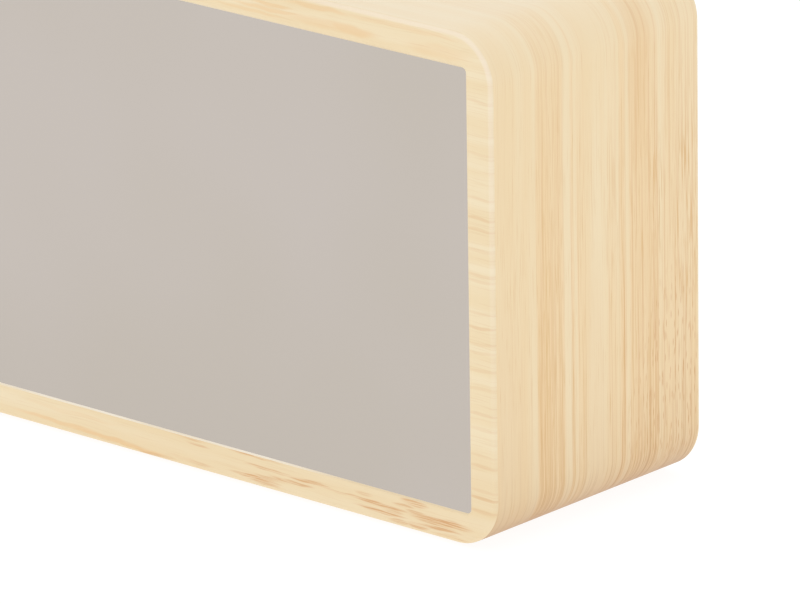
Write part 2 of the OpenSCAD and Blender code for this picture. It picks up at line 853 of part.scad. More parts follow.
module contact_plates() {
    plate_w = cell_d - 2 * plate_margin;
    color("silver") for (row = plate_rows) {
        height = cell_z(row[1]) - cell_z(row[2]) + plate_w;
        x = bay_x + row[0] * (bay_w - plate_t) / 2;
        translate([x, cell_y, (cell_z(row[1]) + cell_z(row[2])) / 2])
            cube([plate_t, plate_w, height], center = true);
    }
}

// Conical spring from r0 at its plate to r1 at the cell, wound along +X from the origin
spring_r0 = 3.6;
spring_r1 = 2.2;
spring_sides = 6;
spring_steps = 8 * spring_turns;

function spring_point(k) =
    let (t = k / spring_steps, r = spring_r0 + (spring_r1 - spring_r0) * t, a = 360 * spring_turns * t)
    [spring_wire / 2 + contact_gap + (spring_l - spring_wire - 2 * contact_gap) * t, r * cos(a), r * sin(a)];

spring_path = [for (k = [0 : spring_steps]) spring_point(k)];

spring_least_gap = min([for (i = [0 : spring_steps], j = [0 : spring_steps])
    if (abs(i - j) >= 5) norm(spring_path[i] - spring_path[j])]) - spring_wire;
echo(contact_spring_least_gap = spring_least_gap);

// Points round one place of a wire's path; aside is a direction that the path never takes
function wire_ring(path, k, r, sides, aside) =
    let (d = path[min(k + 1, len(path) - 1)] - path[max(k - 1, 0)], b = cross(d, aside), m = cross(b, d))
    [for (j = [0 : sides - 1])
        let (u = 360 * j / sides) path[k] + r * (cos(u) * m / norm(m) + sin(u) * b / norm(b))];

module wire(path, r, sides, aside) {
    last = len(path) - 1;
    points = [for (k = [0 : last], p = wire_ring(path, k, r, sides, aside)) p];
    walls = [for (k = [0 : last - 1], j = [0 : sides - 1], half = [0, 1])
        let (a = k * sides + j, b = k * sides + (j + 1) % sides)
            half == 0 ? [a, b + sides, b] : [a, a + sides, b + sides]];
    near = [for (j = [1 : sides - 2]) [0, j, j + 1]];
    far = [for (j = [1 : sides - 2]) [for (q = [0, j + 1, j]) last * sides + q]];
    polyhedron(points = points, faces = concat(walls, near, far));
}

module contact_springs() {
    color("silver") for (i = [0 : cell_count - 1])
        translate([bay_x - nub_side(i) * (bay_w / 2 - plate_t), cell_y, cell_z(i)])
            rotate([0, 0, nub_side(i) > 0 ? 0 : 180])
                wire(spring_path, spring_wire / 2, spring_sides, [1, 0, 0]);
}

// A lead runs out through the bay's wall, bends to the front and ends on the main board
lead_y = bay_in + 3;
lead_reach = bay_wall + lead_run;
lead_path = concat([[0, lead_y, 0]],
    [for (a = [0 : 15 : 90]) [lead_reach + lead_bend * sin(a), lead_y - lead_bend * (1 - cos(a)), 0]],
    [[lead_reach + lead_bend, board_back, 0]]);

module battery_lead(i) {
    translate([bay_x + bay_w / 2, 0, cell_z(i)]) wire(lead_path, lead_r, 12, [0, 0, 1]);
}

module battery_lead_red() {
    color("red") battery_lead(0);
}

module battery_lead_black() {
    color("black") battery_lead(cell_count - 1);
}

wood_case();
corner_blocks();
foot_pads();
mirror_panel();
light_mask();
inner_chassis();
display_reflector();
segment_diffusers();
segment_leds();
main_board();
clock_chip();
quartz_crystal();
filter_capacitor();
backup_cell();
backup_cell_clip();
chip_resistors();
ribbon_sockets();
ribbon_cable();
board_screws();
key_board();
tact_switches();
plunger(0);  // plunger_time
plunger(1);  // plunger_alarm
plunger(2);  // plunger_up
plunger(3);  // plunger_down
key(0);  // key_time
key(1);  // key_alarm
key(2);  // key_up
key(3);  // key_down
buzzer();
usb_shell();
usb_insert();
key_board_screws();
rear_cover();
cover_screws();
battery_door();
battery_cells();
contact_plates();
contact_springs();
battery_lead_red();
battery_lead_black();
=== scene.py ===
"""Studio scene of a bamboo-cased alarm clock with a half-mirror front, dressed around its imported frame."""
import math

import bmesh
import bpy
from mathutils import Matrix, Vector


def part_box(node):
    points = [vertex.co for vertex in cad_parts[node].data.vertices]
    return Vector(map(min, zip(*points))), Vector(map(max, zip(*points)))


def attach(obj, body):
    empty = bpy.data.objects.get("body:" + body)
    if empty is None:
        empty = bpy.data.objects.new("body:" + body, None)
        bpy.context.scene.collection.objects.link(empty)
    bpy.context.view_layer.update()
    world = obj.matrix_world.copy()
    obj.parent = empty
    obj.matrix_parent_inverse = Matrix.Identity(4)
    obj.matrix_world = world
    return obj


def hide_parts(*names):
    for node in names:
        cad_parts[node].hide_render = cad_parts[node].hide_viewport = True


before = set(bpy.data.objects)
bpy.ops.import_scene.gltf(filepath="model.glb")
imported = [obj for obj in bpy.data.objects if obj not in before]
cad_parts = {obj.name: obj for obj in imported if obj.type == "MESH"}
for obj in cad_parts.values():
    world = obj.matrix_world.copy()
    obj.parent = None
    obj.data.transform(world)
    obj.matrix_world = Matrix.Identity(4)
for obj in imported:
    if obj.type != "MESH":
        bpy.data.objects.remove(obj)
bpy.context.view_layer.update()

MM = 0.001
ROOT = "clock"

# View of the photograph: degrees, then millimetres, the aim in the clock's own frame
VIEW_AZIMUTH = 41.74
VIEW_ELEVATION = 18.137
VIEW_ROLL = -0.844
VIEW_AIM = (59.05, -21.21, 31.95)
VIEW_DISTANCE = 1167.6
VIEW_LENS = 401.9
SENSOR_WIDTH = 36

# Case sizes that the frame can't tell
CORNER_R = 6.8 * MM
EDGE_R = 0.6 * MM
WINDOW_R = 0.7 * MM
FRAME_BEVEL = 0.2 * MM
LEDGE = 1.0 * MM
CORNER_STEPS = 20
EDGE_STEPS = 6

# Depth of the case and the way round it, in mm
case_low, case_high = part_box("wood_case")
case_size = (case_high - case_low) / MM
CASE_DEPTH = case_size.y
CASE_RUN = 2 * (case_size.x + case_size.z) - (8 - 2 * math.pi) * CORNER_R / MM

# Painted highlight on the front's rounded edge: the height from which it is painted, and where it is painted
# fully
SHINE_FROM = 58.0 * MM
SHINE_FULL = 66.0 * MM

# The grain maps of the flat faces lie apart from the wrap's, in mm
FRONT_SHIFT = 300.0
REAR_SHIFT = 600.0
WALL_SHIFT = 900.0

# Screws, pads, cells and springs: sizes that the frame can't tell
SCREW_SHANK_R = 1.3 * MM
SCREW_HEAD_R = 2.6 * MM
SCREW_RIM = 0.1 * MM
SCREW_SUNK = 0.1 * MM
SCREW_SEED = 4
CROSS_LENGTH = 3.1 * MM
CROSS_WIDTH = 0.6 * MM
CROSS_DEPTH = 0.7 * MM
CROSS_TAPER = 0.7
PAD_R = 4.0 * MM
PAD_ROUND = 0.3 * MM
PAD_STEPS = 4
CELL_LENGTH = 44.5 * MM
CELL_COUNT = 4
NUB_R = 1.9 * MM
NUB_LENGTH = 1.0 * MM
SLEEVE_LIP = 0.35 * MM
SPRING_WIRE = 0.6 * MM
SPRING_WIDE_R = 3.6 * MM
SPRING_NARROW_R = 2.2 * MM
SPRING_TURNS = 3.5
SPRING_LENGTH = 4.76 * MM
SPRING_STEPS = 24
WIRE_SIDES = 10
TURNED_SIDES = 48

# Dish of a key and the mark printed in it; the mark's strokes are drawn in mm
DISH_R = 2.6 * MM
DISH_DEPTH = 0.2 * MM
MARK_WIDTH = 0.34 * MM
MARK_PROUD = 0.03 * MM
STROKE_HALF = MARK_WIDTH / MM / 2

# Softened edges of the moulded and pressed pieces, in mm
COVER_SOFT = 0.12
DOOR_SOFT = 0.15
SHELL_SOFT = 0.05
SOFT_STEPS = 2

# How near doubles lie, and the angles up to which faces count as flat or are shaded smooth
MERGE_WITHIN = 0.001 * MM
SOLID_MERGE_WITHIN = 0.002 * MM
SOLID_FLAT_WITHIN = math.radians(0.5)
SMOOTH_WITHIN = math.radians(35)
SOLID_SMOOTH_WITHIN = math.radians(40)

# Studio: the floor's size and the camera's reach in metres, and how strongly the floor and the room glow
FLOOR_SIZE = 12
VIEW_REACH = 50
FLOOR_GLOW = 0.9
ROOM_LIGHT = 0.86

# Soft lights: the point they face, then each one's place and width in metres and its power in watts
LIGHT_AIM = Vector((0, 0, 0.03))
SOFT_BOXES = {
    "front_softbox": ((-0.2, -1.3, 0.9), 0.9, 1.2),
    "top_softbox": ((0.1, 0.1, 1.4), 1.2, 2.0),
}


def linear(code):
    """Linear RGBA of an sRGB hex colour."""
    parts = [int(code[i:i + 2], 16) / 255 for i in (1, 3, 5)]
    return tuple(c / 12.92 if c <= 0.04045 else ((c + 0.055) / 1.055) ** 2.4 for c in parts) + (1.0,)


def output_of(node):
    """The output that a node's settings leave open."""
    return next(s for s in node.outputs if s.enabled)


def add(tree, kind, inputs=None, stops=(), **settings):
    """Adds a node with its settings and colour stops; its inputs are set to values or linked to nodes."""
    made = tree.nodes.new(kind)
    for name, value in settings.items():
        setattr(made, name, value)
    for key, value in (inputs or {}).items():
        socket = made.inputs[key] if isinstance(key, int) else next(
            s for s in made.inputs if s.name == key and s.enabled)
        if isinstance(value, bpy.types.Node):
            value = output_of(value)
        if isinstance(value, bpy.types.NodeSocket):
            tree.links.new(value, socket)
        else:
            socket.default_value = value
    for place, (position, tone) in enumerate(stops):
        band = made.color_ramp.elements
        stop = band[place] if place < len(band) else band.new(position)
        stop.position = position
        stop.color = linear(tone) if isinstance(tone, str) else (tone, tone, tone, 1.0)
    return made


def new_material(name, **sockets):
    """A material with one Principled shader; sockets are the values that are the same all over."""
    material = bpy.data.materials.new(name)
    material.use_nodes = True
    shader = material.node_tree.nodes["Principled BSDF"]
    for socket, value in sockets.items():
        shader.inputs[socket.replace("_", " ")].default_value = value
    return material, material.node_tree, shader


# Finishes of the wood

# Fibres wander together with those beside them: the noise that moves them changes this much slower across
WANDER_ACROSS = 0.3


def wandering(tree, grain, length, sway):
    """The grain map with fibres that wander sideways by up to sway mm over a length in mm."""
    spread = add(tree, "ShaderNodeMapping", {
        "Vector": grain, "Scale": (1 / length, WANDER_ACROSS / length, 1)})
    noise = add(tree, "ShaderNodeTexNoise", {
        "Vector": spread, "Scale": 1.0, "Detail": 1.0}, noise_dimensions="2D")
    drift = add(tree, "ShaderNodeMath", {0: noise, 1: 2 * sway, 2: -sway}, operation="MULTIPLY_ADD")
    move = add(tree, "ShaderNodeCombineXYZ", {"Y": drift})
    return add(tree, "ShaderNodeVectorMath", {0: grain, 1: move}, operation="ADD")


def fibres(tree, grain, length, width, start, full, seed, detail=2.0, crowd=None, gain=0.0):
    """Factor of fibres about length by width mm; a noise brings them out between its values start and full.

    crowd is a factor that lets more of them through, by its gain.
    """
    spread = add(tree, "ShaderNodeMapping", {
        "Vector": grain, "Location": (seed, seed, 0), "Scale": (1 / length, 1 / width, 1)})
    value = add(tree, "ShaderNodeTexNoise", {
        "Vector": spread, "Scale": 1.0, "Detail": detail, "Roughness": 0.6}, noise_dimensions="2D")
    if crowd is not None:
        value = add(tree, "ShaderNodeMath", {0: crowd, 1: gain, 2: value}, operation="MULTIPLY_ADD")
    return add(tree, "ShaderNodeMapRange", {
        "Value": value, "From Min": start, "From Max": full}, interpolation_type="SMOOTHSTEP")


# Share of a dash's or patch's half size, from its middle, that has its full strength
DASH_CORE = 0.3
PATCH_CORE = 0.4


def dashes(tree, grain, length, width, apart):
    """Factor of dashes, from pores to long veins: length by width mm, one in each cell of apart mm."""
    spread = add(tree, "ShaderNodeMapping", {"Vector": grain, "Scale": (1 / apart[0], 1 / apart[1], 1)})
    cells = add(tree, "ShaderNodeTexVoronoi", {
        "Vector": spread, "Scale": 1.0, "Randomness": 1.0}, voronoi_dimensions="2D")
    away = add(tree, "ShaderNodeVectorMath", {0: cells.outputs["Position"], 1: spread}, operation="SUBTRACT")
    shape = add(tree, "ShaderNodeVectorMath", {
        0: away, 1: (2 * apart[0] / length, 2 * apart[1] / width, 0)}, operation="MULTIPLY")
    reach = add(tree, "ShaderNodeVectorMath", {0: shape}, operation="LENGTH")
    return add(tree, "ShaderNodeMapRange", {
        "Value": reach.outputs["Value"], "From Min": 1.0, "From Max": DASH_CORE},
        interpolation_type="SMOOTHSTEP")


def patches(tree, grain, places):
    """Factor of soft oval patches; each place is a centre, half sizes in mm and a strength."""
    total = None
    for centre, half, strength in places:
        spread = add(tree, "ShaderNodeMapping", {
            "Vector": grain, "Scale": (1 / half[0], 1 / half[1], 1),
            "Location": (-centre[0] / half[0], -centre[1] / half[1], 0)})
        ball = add(tree, "ShaderNodeTexGradient", {"Vector": spread}, gradient_type="SPHERICAL")
        soft = add(tree, "ShaderNodeMapRange", {
            "Value": ball.outputs["Fac"], "From Max": 1 - PATCH_CORE, "To Max": strength},
            interpolation_type="SMOOTHSTEP")
        if total is None:
            total = soft
        else:
            total = add(tree, "ShaderNodeMath", {0: total, 1: soft}, operation="MAXIMUM")
    return total


def stained(tree, base, stains):
    """Base colour with stains laid over it: each a factor, a mask or None, a strength and a colour."""
    colour = base
    for factor, mask, strength, code in stains:
        amount = add(tree, "ShaderNodeMath", {0: factor, 1: strength}, operation="MULTIPLY")
        if mask is not None:
            amount = add(tree, "ShaderNodeMath", {0: amount, 1: mask}, operation="MULTIPLY")
        colour = add(tree, "ShaderNodeMix", {
            "Factor": amount, "A": colour, "B": linear(code)}, data_type="RGBA")
    return output_of(colour)


# Bands of brown fibres across the case: from and to, in mm from its front edge, and how crowded they are
FIBRE_BANDS = [(8.1, 13.5, 0.8), (15.0, 15.6, 0.75), (16.2, 17.8, 0.42), (22.4, 24.2, 0.36),
               (24.9, 26.0, 0.85), (26.9, 32.8, 0.68), (33.4, 41.6, 0.48)]
BETWEEN_BANDS = 0.06
BAND_EDGE = 0.2

# How strong those bands are round the case, by mm of the run that starts under the right side
BANDS_ROUND = [
    (0.0, 1.0), (16.0, 1.0), (56.0, 0.8), (68.0, 0.6), (80.0, 0.25), (150.0, 0.2), (210.0, 0.25),
    (235.0, 0.8), (290.0, 0.9), (428.0, 1.0),
]

# Painted shade: how much the veneer is darkened towards the underside, where less light reaches it, by mm of
# the same run
UNDERSIDE_PAINTED_SHADE = [
    (0.0, 1.0), (4.3, 1.0), (5.1, 0.86), (5.9, 0.74), (7.0, 0.56), (10.7, 0.19), (20.0, 0.05),
    (33.0, 0.01), (45.0, 0.0), (248.0, 0.0), (262.0, 0.04), (281.0, 0.19), (285.0, 0.56), (286.9, 0.86),
    (287.7, 1.0),
]

# Painted light: how much paler the veneer is painted on top, where the light from above falls, by mm of the
# same run
TOP_PAINTED_LIGHT = [(66.0, 0.0), (80.0, 1.0), (212.0, 1.0), (226.0, 0.0)]

# Places on the right side, as run and mm from the front, then half sizes and strength
SHORT_MARKS = [((48, 18), (12, 2.5), 0.3), ((44, 23.5), (16, 2.2), 0.4), ((44, 32.3), (14, 2.2), 0.8),
               ((42, 39), (20, 4.5), 0.9), ((36, 4), (20, 3), 0.25)]
PORE_PATCH = [((18, 36), (22, 9.5), 1.0), ((12, 30), (14, 6), 0.6)]
BROAD_PATCH = [((68, 28.9), (22, 3.2), 1.0), ((18, 2), (24, 6), 0.6), ((20, 19.8), (26, 3), 0.5)]

# Veins are weaker near the front: their strength there, and the mm from the front between which it grows
VEIN_IN_FRONT = 0.5
VEIN_GROWS_FROM = 14.0
VEIN_FULL_FROM = 26.0


def band_stops():
    """Stops of a ramp across the case that rises at each fibre band and falls behind it."""
    stops = []
    for low, high, crowded in FIBRE_BANDS:
        stops += [(low - BAND_EDGE, BETWEEN_BANDS), (low + BAND_EDGE, crowded),
                  (high - BAND_EDGE, crowded), (high + BAND_EDGE, BETWEEN_BANDS)]
    return [(mm / CASE_DEPTH, tone) for mm, tone in stops]


def run_stops(tones):
    """Stops of a ramp round the case, from tones by mm of its run."""
    return [(mm / CASE_RUN, tone) for mm, tone in tones]


def bamboo_wrap():
    """Bamboo veneer bent round the case, satin lacquer."""
    # Straw-coloured strips with brown fibres in bands, finer near the front, and dark pores low at the rear;
    # painted light makes the top paler and painted shade darkens the underside
    material, tree, shader = new_material("bamboo_veneer_lacquered", Roughness=0.45)
    straight = add(tree, "ShaderNodeUVMap", uv_map="grain")
    grain = wandering(tree, straight, length=45, sway=0.35)
    place = add(tree, "ShaderNodeSeparateXYZ", {"Vector": grain})
    depth = add(tree, "ShaderNodeMath", {0: place.outputs["Y"], 1: CASE_DEPTH}, operation="DIVIDE")
    run = add(tree, "ShaderNodeMath", {0: place.outputs["X"], 1: CASE_RUN}, operation="DIVIDE")
    across = add(tree, "ShaderNodeValToRGB", {"Fac": depth}, stops=band_stops())
    round_it = add(tree, "ShaderNodeValToRGB", {"Fac": run}, stops=run_stops(BANDS_ROUND))
    # under: painted shade, darker towards the underside
    under = add(tree, "ShaderNodeValToRGB", {"Fac": run}, stops=run_stops(UNDERSIDE_PAINTED_SHADE))
    # upper: painted light, paler on top where the light from above falls
    upper = add(tree, "ShaderNodeValToRGB", {"Fac": run}, stops=run_stops(TOP_PAINTED_LIGHT))
    crowd = add(tree, "ShaderNodeMath", {0: across, 1: round_it}, operation="MULTIPLY")
    slow = fibres(tree, grain, length=80, width=3.5, start=0.3, full=0.7, seed=9.0, detail=1.0)
    base = add(tree, "ShaderNodeValToRGB", {"Fac": slow}, stops=[(0.0, "#f3dfb9"), (1.0, "#f2dab0")])
    long_lines = fibres(tree, grain, length=45, width=0.24, start=0.62, full=0.80, seed=31.0,
                        crowd=crowd, gain=0.20)
    broken_lines = fibres(tree, grain, length=7, width=0.20, start=0.62, full=0.78, seed=63.0,
                          crowd=crowd, gain=0.16)
    hair_lines = fibres(tree, grain, length=14, width=0.24, start=0.50, full=0.72, seed=77.0)
    marks = fibres(tree, grain, length=9, width=0.24, start=0.52, full=0.64, seed=55.0)
    rearward = add(tree, "ShaderNodeMapRange", {
        "Value": place.outputs["Y"], "From Min": VEIN_GROWS_FROM, "From Max": VEIN_FULL_FROM,
        "To Min": VEIN_IN_FRONT})
    all_veins = dashes(tree, grain, length=45, width=0.42, apart=(30, 1.15))
    veins = add(tree, "ShaderNodeMath", {0: all_veins, 1: rearward}, operation="MULTIPLY")
    pores = dashes(tree, grain, length=1.6, width=0.22, apart=(2.8, 0.85))
    long_pores = dashes(tree, grain, length=4.0, width=0.26, apart=(5.5, 1.3))
    colour = stained(tree, base, [
        (crowd, None, 0.56, "#f0ca95"),
        (patches(tree, straight, BROAD_PATCH), None, 0.30, "#e9c18c"),
        # Painted light: paler on top
        (upper, None, 0.40, "#f9efdb"),
        (hair_lines, round_it, 0.13, "#e3c28e"),
        (long_lines, round_it, 0.35, "#d9ab67"),
        (broken_lines, round_it, 0.34, "#d9ab67"),
        (veins, crowd, 0.50, "#d69d60"),
        (marks, patches(tree, straight, SHORT_MARKS), 0.62, "#d8a560"),
        (pores, patches(tree, straight, PORE_PATCH), 0.54, "#cf935a"),
        (long_pores, patches(tree, straight, PORE_PATCH), 0.46, "#cf935a"),
        # Painted shade: the veneer, its lines and its veins darker towards the underside
        (under, None, 0.82, "#b88a59"),
        (long_lines, under, 0.34, "#a06c3e"),
        (veins, under, 0.45, "#a06c3e"),
    ])
    tree.links.new(colour, shader.inputs["Base Color"])
    return material


# Streaks of the front frame: centre across and up the front, half sizes in mm and strength
RUSTY_STREAKS = [
    ((14.5, 0.95), (5, 0.3), 0.5), ((20.5, 4.7), (4, 0.3), 0.5), ((21.8, 4.1), (3, 0.25), 0.5),
    ((20.5, 1.5), (5, 0.4), 0.4), ((48, 3.0), (6, 0.2), 0.5), ((35.5, 2.15), (4, 0.26), 0.6),
    ((32.5, 4.6), (5.5, 0.3), 0.7), ((35, 3.3), (5.5, 0.28), 0.7), ((42.3, 3.2), (5, 0.32), 0.9),
    ((39, 2.5), (4.8, 0.3), 0.9), ((32.6, 1.7), (5.6, 0.32), 1.0), ((34.5, 1.25), (4, 0.26), 0.7),
    ((54.7, 2.85), (6, 0.34), 1.0), ((54.7, 1.95), (5.4, 0.34), 1.0), ((52, 3.7), (2, 0.4), 0.4),
    ((60.8, 4.45), (3, 0.6), 0.8), ((59, 3.65), (2.4, 0.35), 0.6), ((61.2, 3.2), (2.4, 0.35), 0.6),
    ((65.5, 2.75), (6.4, 0.72), 1.0), ((65, 1.85), (5, 0.36), 0.9), ((61.3, 1.4), (2.6, 0.5), 0.8),
    ((58.3, 1.3), (2.4, 0.42), 0.7), ((67, 1.1), (4, 0.3), 0.5), ((57, 2.4), (2.5, 0.3), 0.5),
]
HONEY_STREAKS = [
    ((51, 67.5), (5.5, 0.9), 0.8), ((46, 67.4), (9, 0.9), 0.5), ((36.5, 67.7), (8, 0.4), 0.8),
    ((33, 67.0), (8, 0.35), 0.5), ((37, 68.4), (4.5, 0.4), 0.8), ((45, 69.4), (7, 0.5), 0.7),
    ((60, 69.5), (14, 0.5), 0.35), ((66, 67.4), (7, 1.2), 0.4), ((-4, 1.8), (10, 0.4), 0.8),
    ((4, 1.5), (8, 0.36), 1.0), ((10, 1.2), (8, 0.36), 1.0), ((-1, 3.6), (12, 0.5), 0.25),
]
# Short lines across the right upright: middle and half sizes in mm, then each one's height and strength
UPRIGHT_X = 72.9
UPRIGHT_HALF = (3.4, 0.34)
UPRIGHT_LINES = [
    (5.7, 0.7), (7.5, 1.0), (8.5, 0.5), (11.9, 0.6), (13.4, 0.3), (17.1, 0.4), (19.2, 0.6), (22.8, 0.4),
    (25.3, 0.5), (27.8, 0.4), (29.0, 0.4), (31.2, 0.8), (33.2, 0.4), (37.6, 0.5), (38.4, 0.5), (41.7, 0.4),
    (44.5, 0.5), (46.0, 0.7), (48.7, 0.5), (54.8, 0.35), (61.8, 0.4),
]
# Patches of the left half that take broad honey streaks, and lines across its upright
LEFT_HONEY = [((-30, 68), (20, 2.6), 0.7), ((-50, 2.5), (16, 2.6), 0.8)]
LEFT_UPRIGHT = [((-UPRIGHT_X, 26), (6, 14), 0.8), ((-UPRIGHT_X, 50), (6, 14), 1.0)]
# Where the board is a little deeper in colour
LOWER_RAIL = [((45, 0), (80, 14), 1.0), ((UPRIGHT_X, 5.5), (7, 12), 1.0)]


def bamboo_face():
    """Planed bamboo board of the front frame and the rear rim, satin lacquer."""
    # Pale, with fine fibres along the clock and rusty or honey streaks, and a painted highlight on its upper
    # rounded edge
    material, tree, shader = new_material("bamboo_board_planed", Roughness=0.55, Specular_IOR_Level=0.3)
    straight = add(tree, "ShaderNodeUVMap", uv_map="grain")
    grain = wandering(tree, straight, length=16, sway=0.6)
    calm = wandering(tree, straight, length=30, sway=0.4)
    ragged = wandering(tree, straight, length=5, sway=0.35)
    home = (-FRONT_SHIFT, -FRONT_SHIFT, 0)
    front = add(tree, "ShaderNodeVectorMath", {0: straight, 1: home}, operation="ADD")
    ragged_front = add(tree, "ShaderNodeVectorMath", {0: ragged, 1: home}, operation="ADD")
    slow = fibres(tree, grain, length=60, width=2.4, start=0.3, full=0.7, seed=3.0, detail=1.0)
    base = add(tree, "ShaderNodeValToRGB", {"Fac": slow}, stops=[(0.0, "#f3e2c0"), (1.0, "#f0dbb4")])
    fine = fibres(tree, grain, length=9, width=0.20, start=0.54, full=0.74, seed=31.0)
    torn = fibres(tree, calm, length=7, width=0.17, start=0.42, full=0.56, seed=12.0)
    rust = patches(tree, ragged_front, RUSTY_STREAKS)
    upright_lines = patches(tree, ragged_front, [
        ((UPRIGHT_X, up), UPRIGHT_HALF, strength) for up, strength in UPRIGHT_LINES])
    left_honey = dashes(tree, grain, length=26, width=0.9, apart=(15.0, 1.5))
    left_lines = dashes(tree, calm, length=9, width=0.5, apart=(6.0, 1.8))
    # The attribute named lacquer is a painted highlight on the front's upper rounded edge, not a coat
    lacquer = add(tree, "ShaderNodeAttribute", attribute_name="lacquer")
    colour = stained(tree, base, [
        (fine, None, 0.24, "#dfbb8a"),
        (patches(tree, front, LOWER_RAIL), None, 0.32, "#e9cd9f"),
        (left_honey, patches(tree, front, LEFT_HONEY), 0.45, "#e8b87c"),
        (left_lines, patches(tree, front, LEFT_UPRIGHT), 0.40, "#dcb27c"),
        (patches(tree, ragged_front, HONEY_STREAKS), None, 0.52, "#ecbf86"),
        (upright_lines, None, 0.50, "#dfb481"),
        (rust, None, 0.30, "#e0b07c"),
        (torn, rust, 0.66, "#d2955b"),
        # Painted highlight: near-white on the upper rounded edge
        (lacquer.outputs["Fac"], None, 0.34, "#fff3ea"),
    ])
    tree.links.new(colour, shader.inputs["Base Color"])
    return material


# Where the painted highlight on the edge under the mirror fades from cream to bare board, in mm to the right
# of the clock's middle
HIGHLIGHT_FADES_FROM = 36
HIGHLIGHT_GONE_FROM = 50


def bamboo_edge():
    """Edge of the frame under the mirror, with a painted highlight: near-white colour for the light that its
    bevel catches.
    """
    # Painted highlight: creamy white with the ends of the fibres just showing, fading to bare board towards
    # the right
    material, tree, shader = new_material("bamboo_edge_sanded", Roughness=0.4)
    grain = add(tree, "ShaderNodeUVMap", uv_map="grain")
    ends = fibres(tree, grain, length=9, width=0.3, start=0.4, full=0.7, seed=5.0)
    tone = add(tree, "ShaderNodeValToRGB", {"Fac": ends}, stops=[(0.0, "#fef4e2"), (1.0, "#f8ead1")])
    along = add(tree, "ShaderNodeSeparateXYZ", {"Vector": grain})
    highlight_gone = add(tree, "ShaderNodeMapRange", {
        "Value": along.outputs["X"], "From Min": WALL_SHIFT + HIGHLIGHT_FADES_FROM,
        "From Max": WALL_SHIFT + HIGHLIGHT_GONE_FROM})
    colour = stained(tree, tone, [(highlight_gone, None, 0.9, "#f0dab2")])
    tree.links.new(colour, shader.inputs["Base Color"])
    return material


def sawn_pine():
    """Sawn pine of the glued corner blocks."""
    # Yellowish, matt, with the darker lines of its year rings along the block
    material, tree, shader = new_material("pine_sawn", Roughness=0.7)
    place = add(tree, "ShaderNodeTexCoord").outputs["Object"]
    ring_width = 1.5 * MM
    ring_length = 30 * MM
    along = add(tree, "ShaderNodeMapping", {
        "Vector": place, "Scale": (1 / ring_width, 1 / ring_length, 1 / ring_width)})
    rings = add(tree, "ShaderNodeTexNoise", {"Vector": along, "Scale": 1.0, "Detail": 2.0})
    tone = add(tree, "ShaderNodeValToRGB", {"Fac": rings}, stops=[(0.35, "#dcbb87"), (0.7, "#c59c66")])
    tree.links.new(tone.outputs["Color"], shader.inputs["Base Color"])
    return material


# Finishes of the other pieces

def half_mirror():
    """Half-silvered acrylic sheet, cast flat."""
    # A flat mirror that gives back a little over half of the light, with faint pink and yellow patches in
    # its colour as a painted reflection of its surroundings
    material, tree, shader = new_material("half_mirror_acrylic_cast", Metallic=1.0, Roughness=0.12)
    place = add(tree, "ShaderNodeTexCoord").outputs["Object"]
    reflection_patch_size = 35 * MM
    painted_reflection = add(tree, "ShaderNodeTexNoise", {"Vector": place, "Scale": 1 / reflection_patch_size, "Detail": 1.0})
    tone = add(tree, "ShaderNodeValToRGB", {"Fac": painted_reflection}, stops=[(0.35, "#c2bab3"), (0.65, "#c0b8af")])
    tree.links.new(tone.outputs["Color"], shader.inputs["Base Color"])
    return material


def moulded(name, dark, light, roughness, grit=0.6):
    """A moulded or extruded plastic: one colour with the fine grain of its mould, grit mm in size."""
    material, tree, shader = new_material(name, Roughness=roughness, IOR=1.53)
    place = add(tree, "ShaderNodeTexCoord").outputs["Object"]
    # A mould's spark-eroded grain is about 0.05 mm; it is drawn coarser here so that it shows
    sand = add(tree, "ShaderNodeTexNoise", {"Vector": place, "Scale": 1 / (grit * MM), "Detail": 2.0})
    tone = add(tree, "ShaderNodeValToRGB", {"Fac": sand}, stops=[(0.35, dark), (0.65, light)])
    grain_depth = 0.02 * MM
    bump = add(tree, "ShaderNodeBump", {"Height": sand, "Strength": 0.12, "Distance": grain_depth})
    tree.links.new(tone.outputs["Color"], shader.inputs["Base Color"])
    tree.links.new(bump.outputs["Normal"], shader.inputs["Normal"])
    return material


def bright_metal(name, dark, light, roughness):
    """A plated or tinned metal: bright, with faint marks of its rolling or turning."""
    material, tree, shader = new_material(name, Metallic=1.0, Roughness=roughness)
    place = add(tree, "ShaderNodeTexCoord").outputs["Object"]
    # Such marks are a few hundredths of a millimetre wide; they are drawn coarser here so that they show
    mark_size = 0.4 * MM
    marks = add(tree, "ShaderNodeTexNoise", {"Vector": place, "Scale": 1 / mark_size, "Detail": 3.0})
    tone = add(tree, "ShaderNodeValToRGB", {"Fac": marks}, stops=[(0.3, dark), (0.7, light)])
    tree.links.new(tone.outputs["Color"], shader.inputs["Base Color"])
    return material


BAMBOO_WRAP = bamboo_wrap()
BAMBOO_FACE = bamboo_face()
BAMBOO_EDGE = bamboo_edge()
PINE = sawn_pine()
MIRROR = half_mirror()
# ABS from a spark-eroded mould: a soft, even off-white
COVER_ABS = moulded("abs_off_white_moulded", "#e6e2d8", "#e9e5dc", roughness=0.5)
# ABS from a polished mould: mid grey with a satin gloss
KEY_ABS = moulded("abs_grey_satin", "#6e6d6b", "#787775", roughness=0.42)
# Pad-printed ink: a thin matt off-white
MARK_INK = moulded("ink_white_pad_printed", "#e6e4dd", "#efede7", roughness=0.6)
# ABS from a spark-eroded mould: near black and matt, so that no light strays
BLACK_ABS = moulded("abs_black_moulded", "#161617", "#1d1d1e", roughness=0.5)
# Nylon from a polished mould: warm ivory, a little waxy
IVORY_NYLON = moulded("nylon_ivory_moulded", "#dcd4bf", "#e5decb", roughness=0.45)
# Polycarbonate with a milky filler: white and smooth
MILKY_PC = moulded("polycarbonate_milky_moulded", "#efeee9", "#f6f5f1", roughness=0.3)
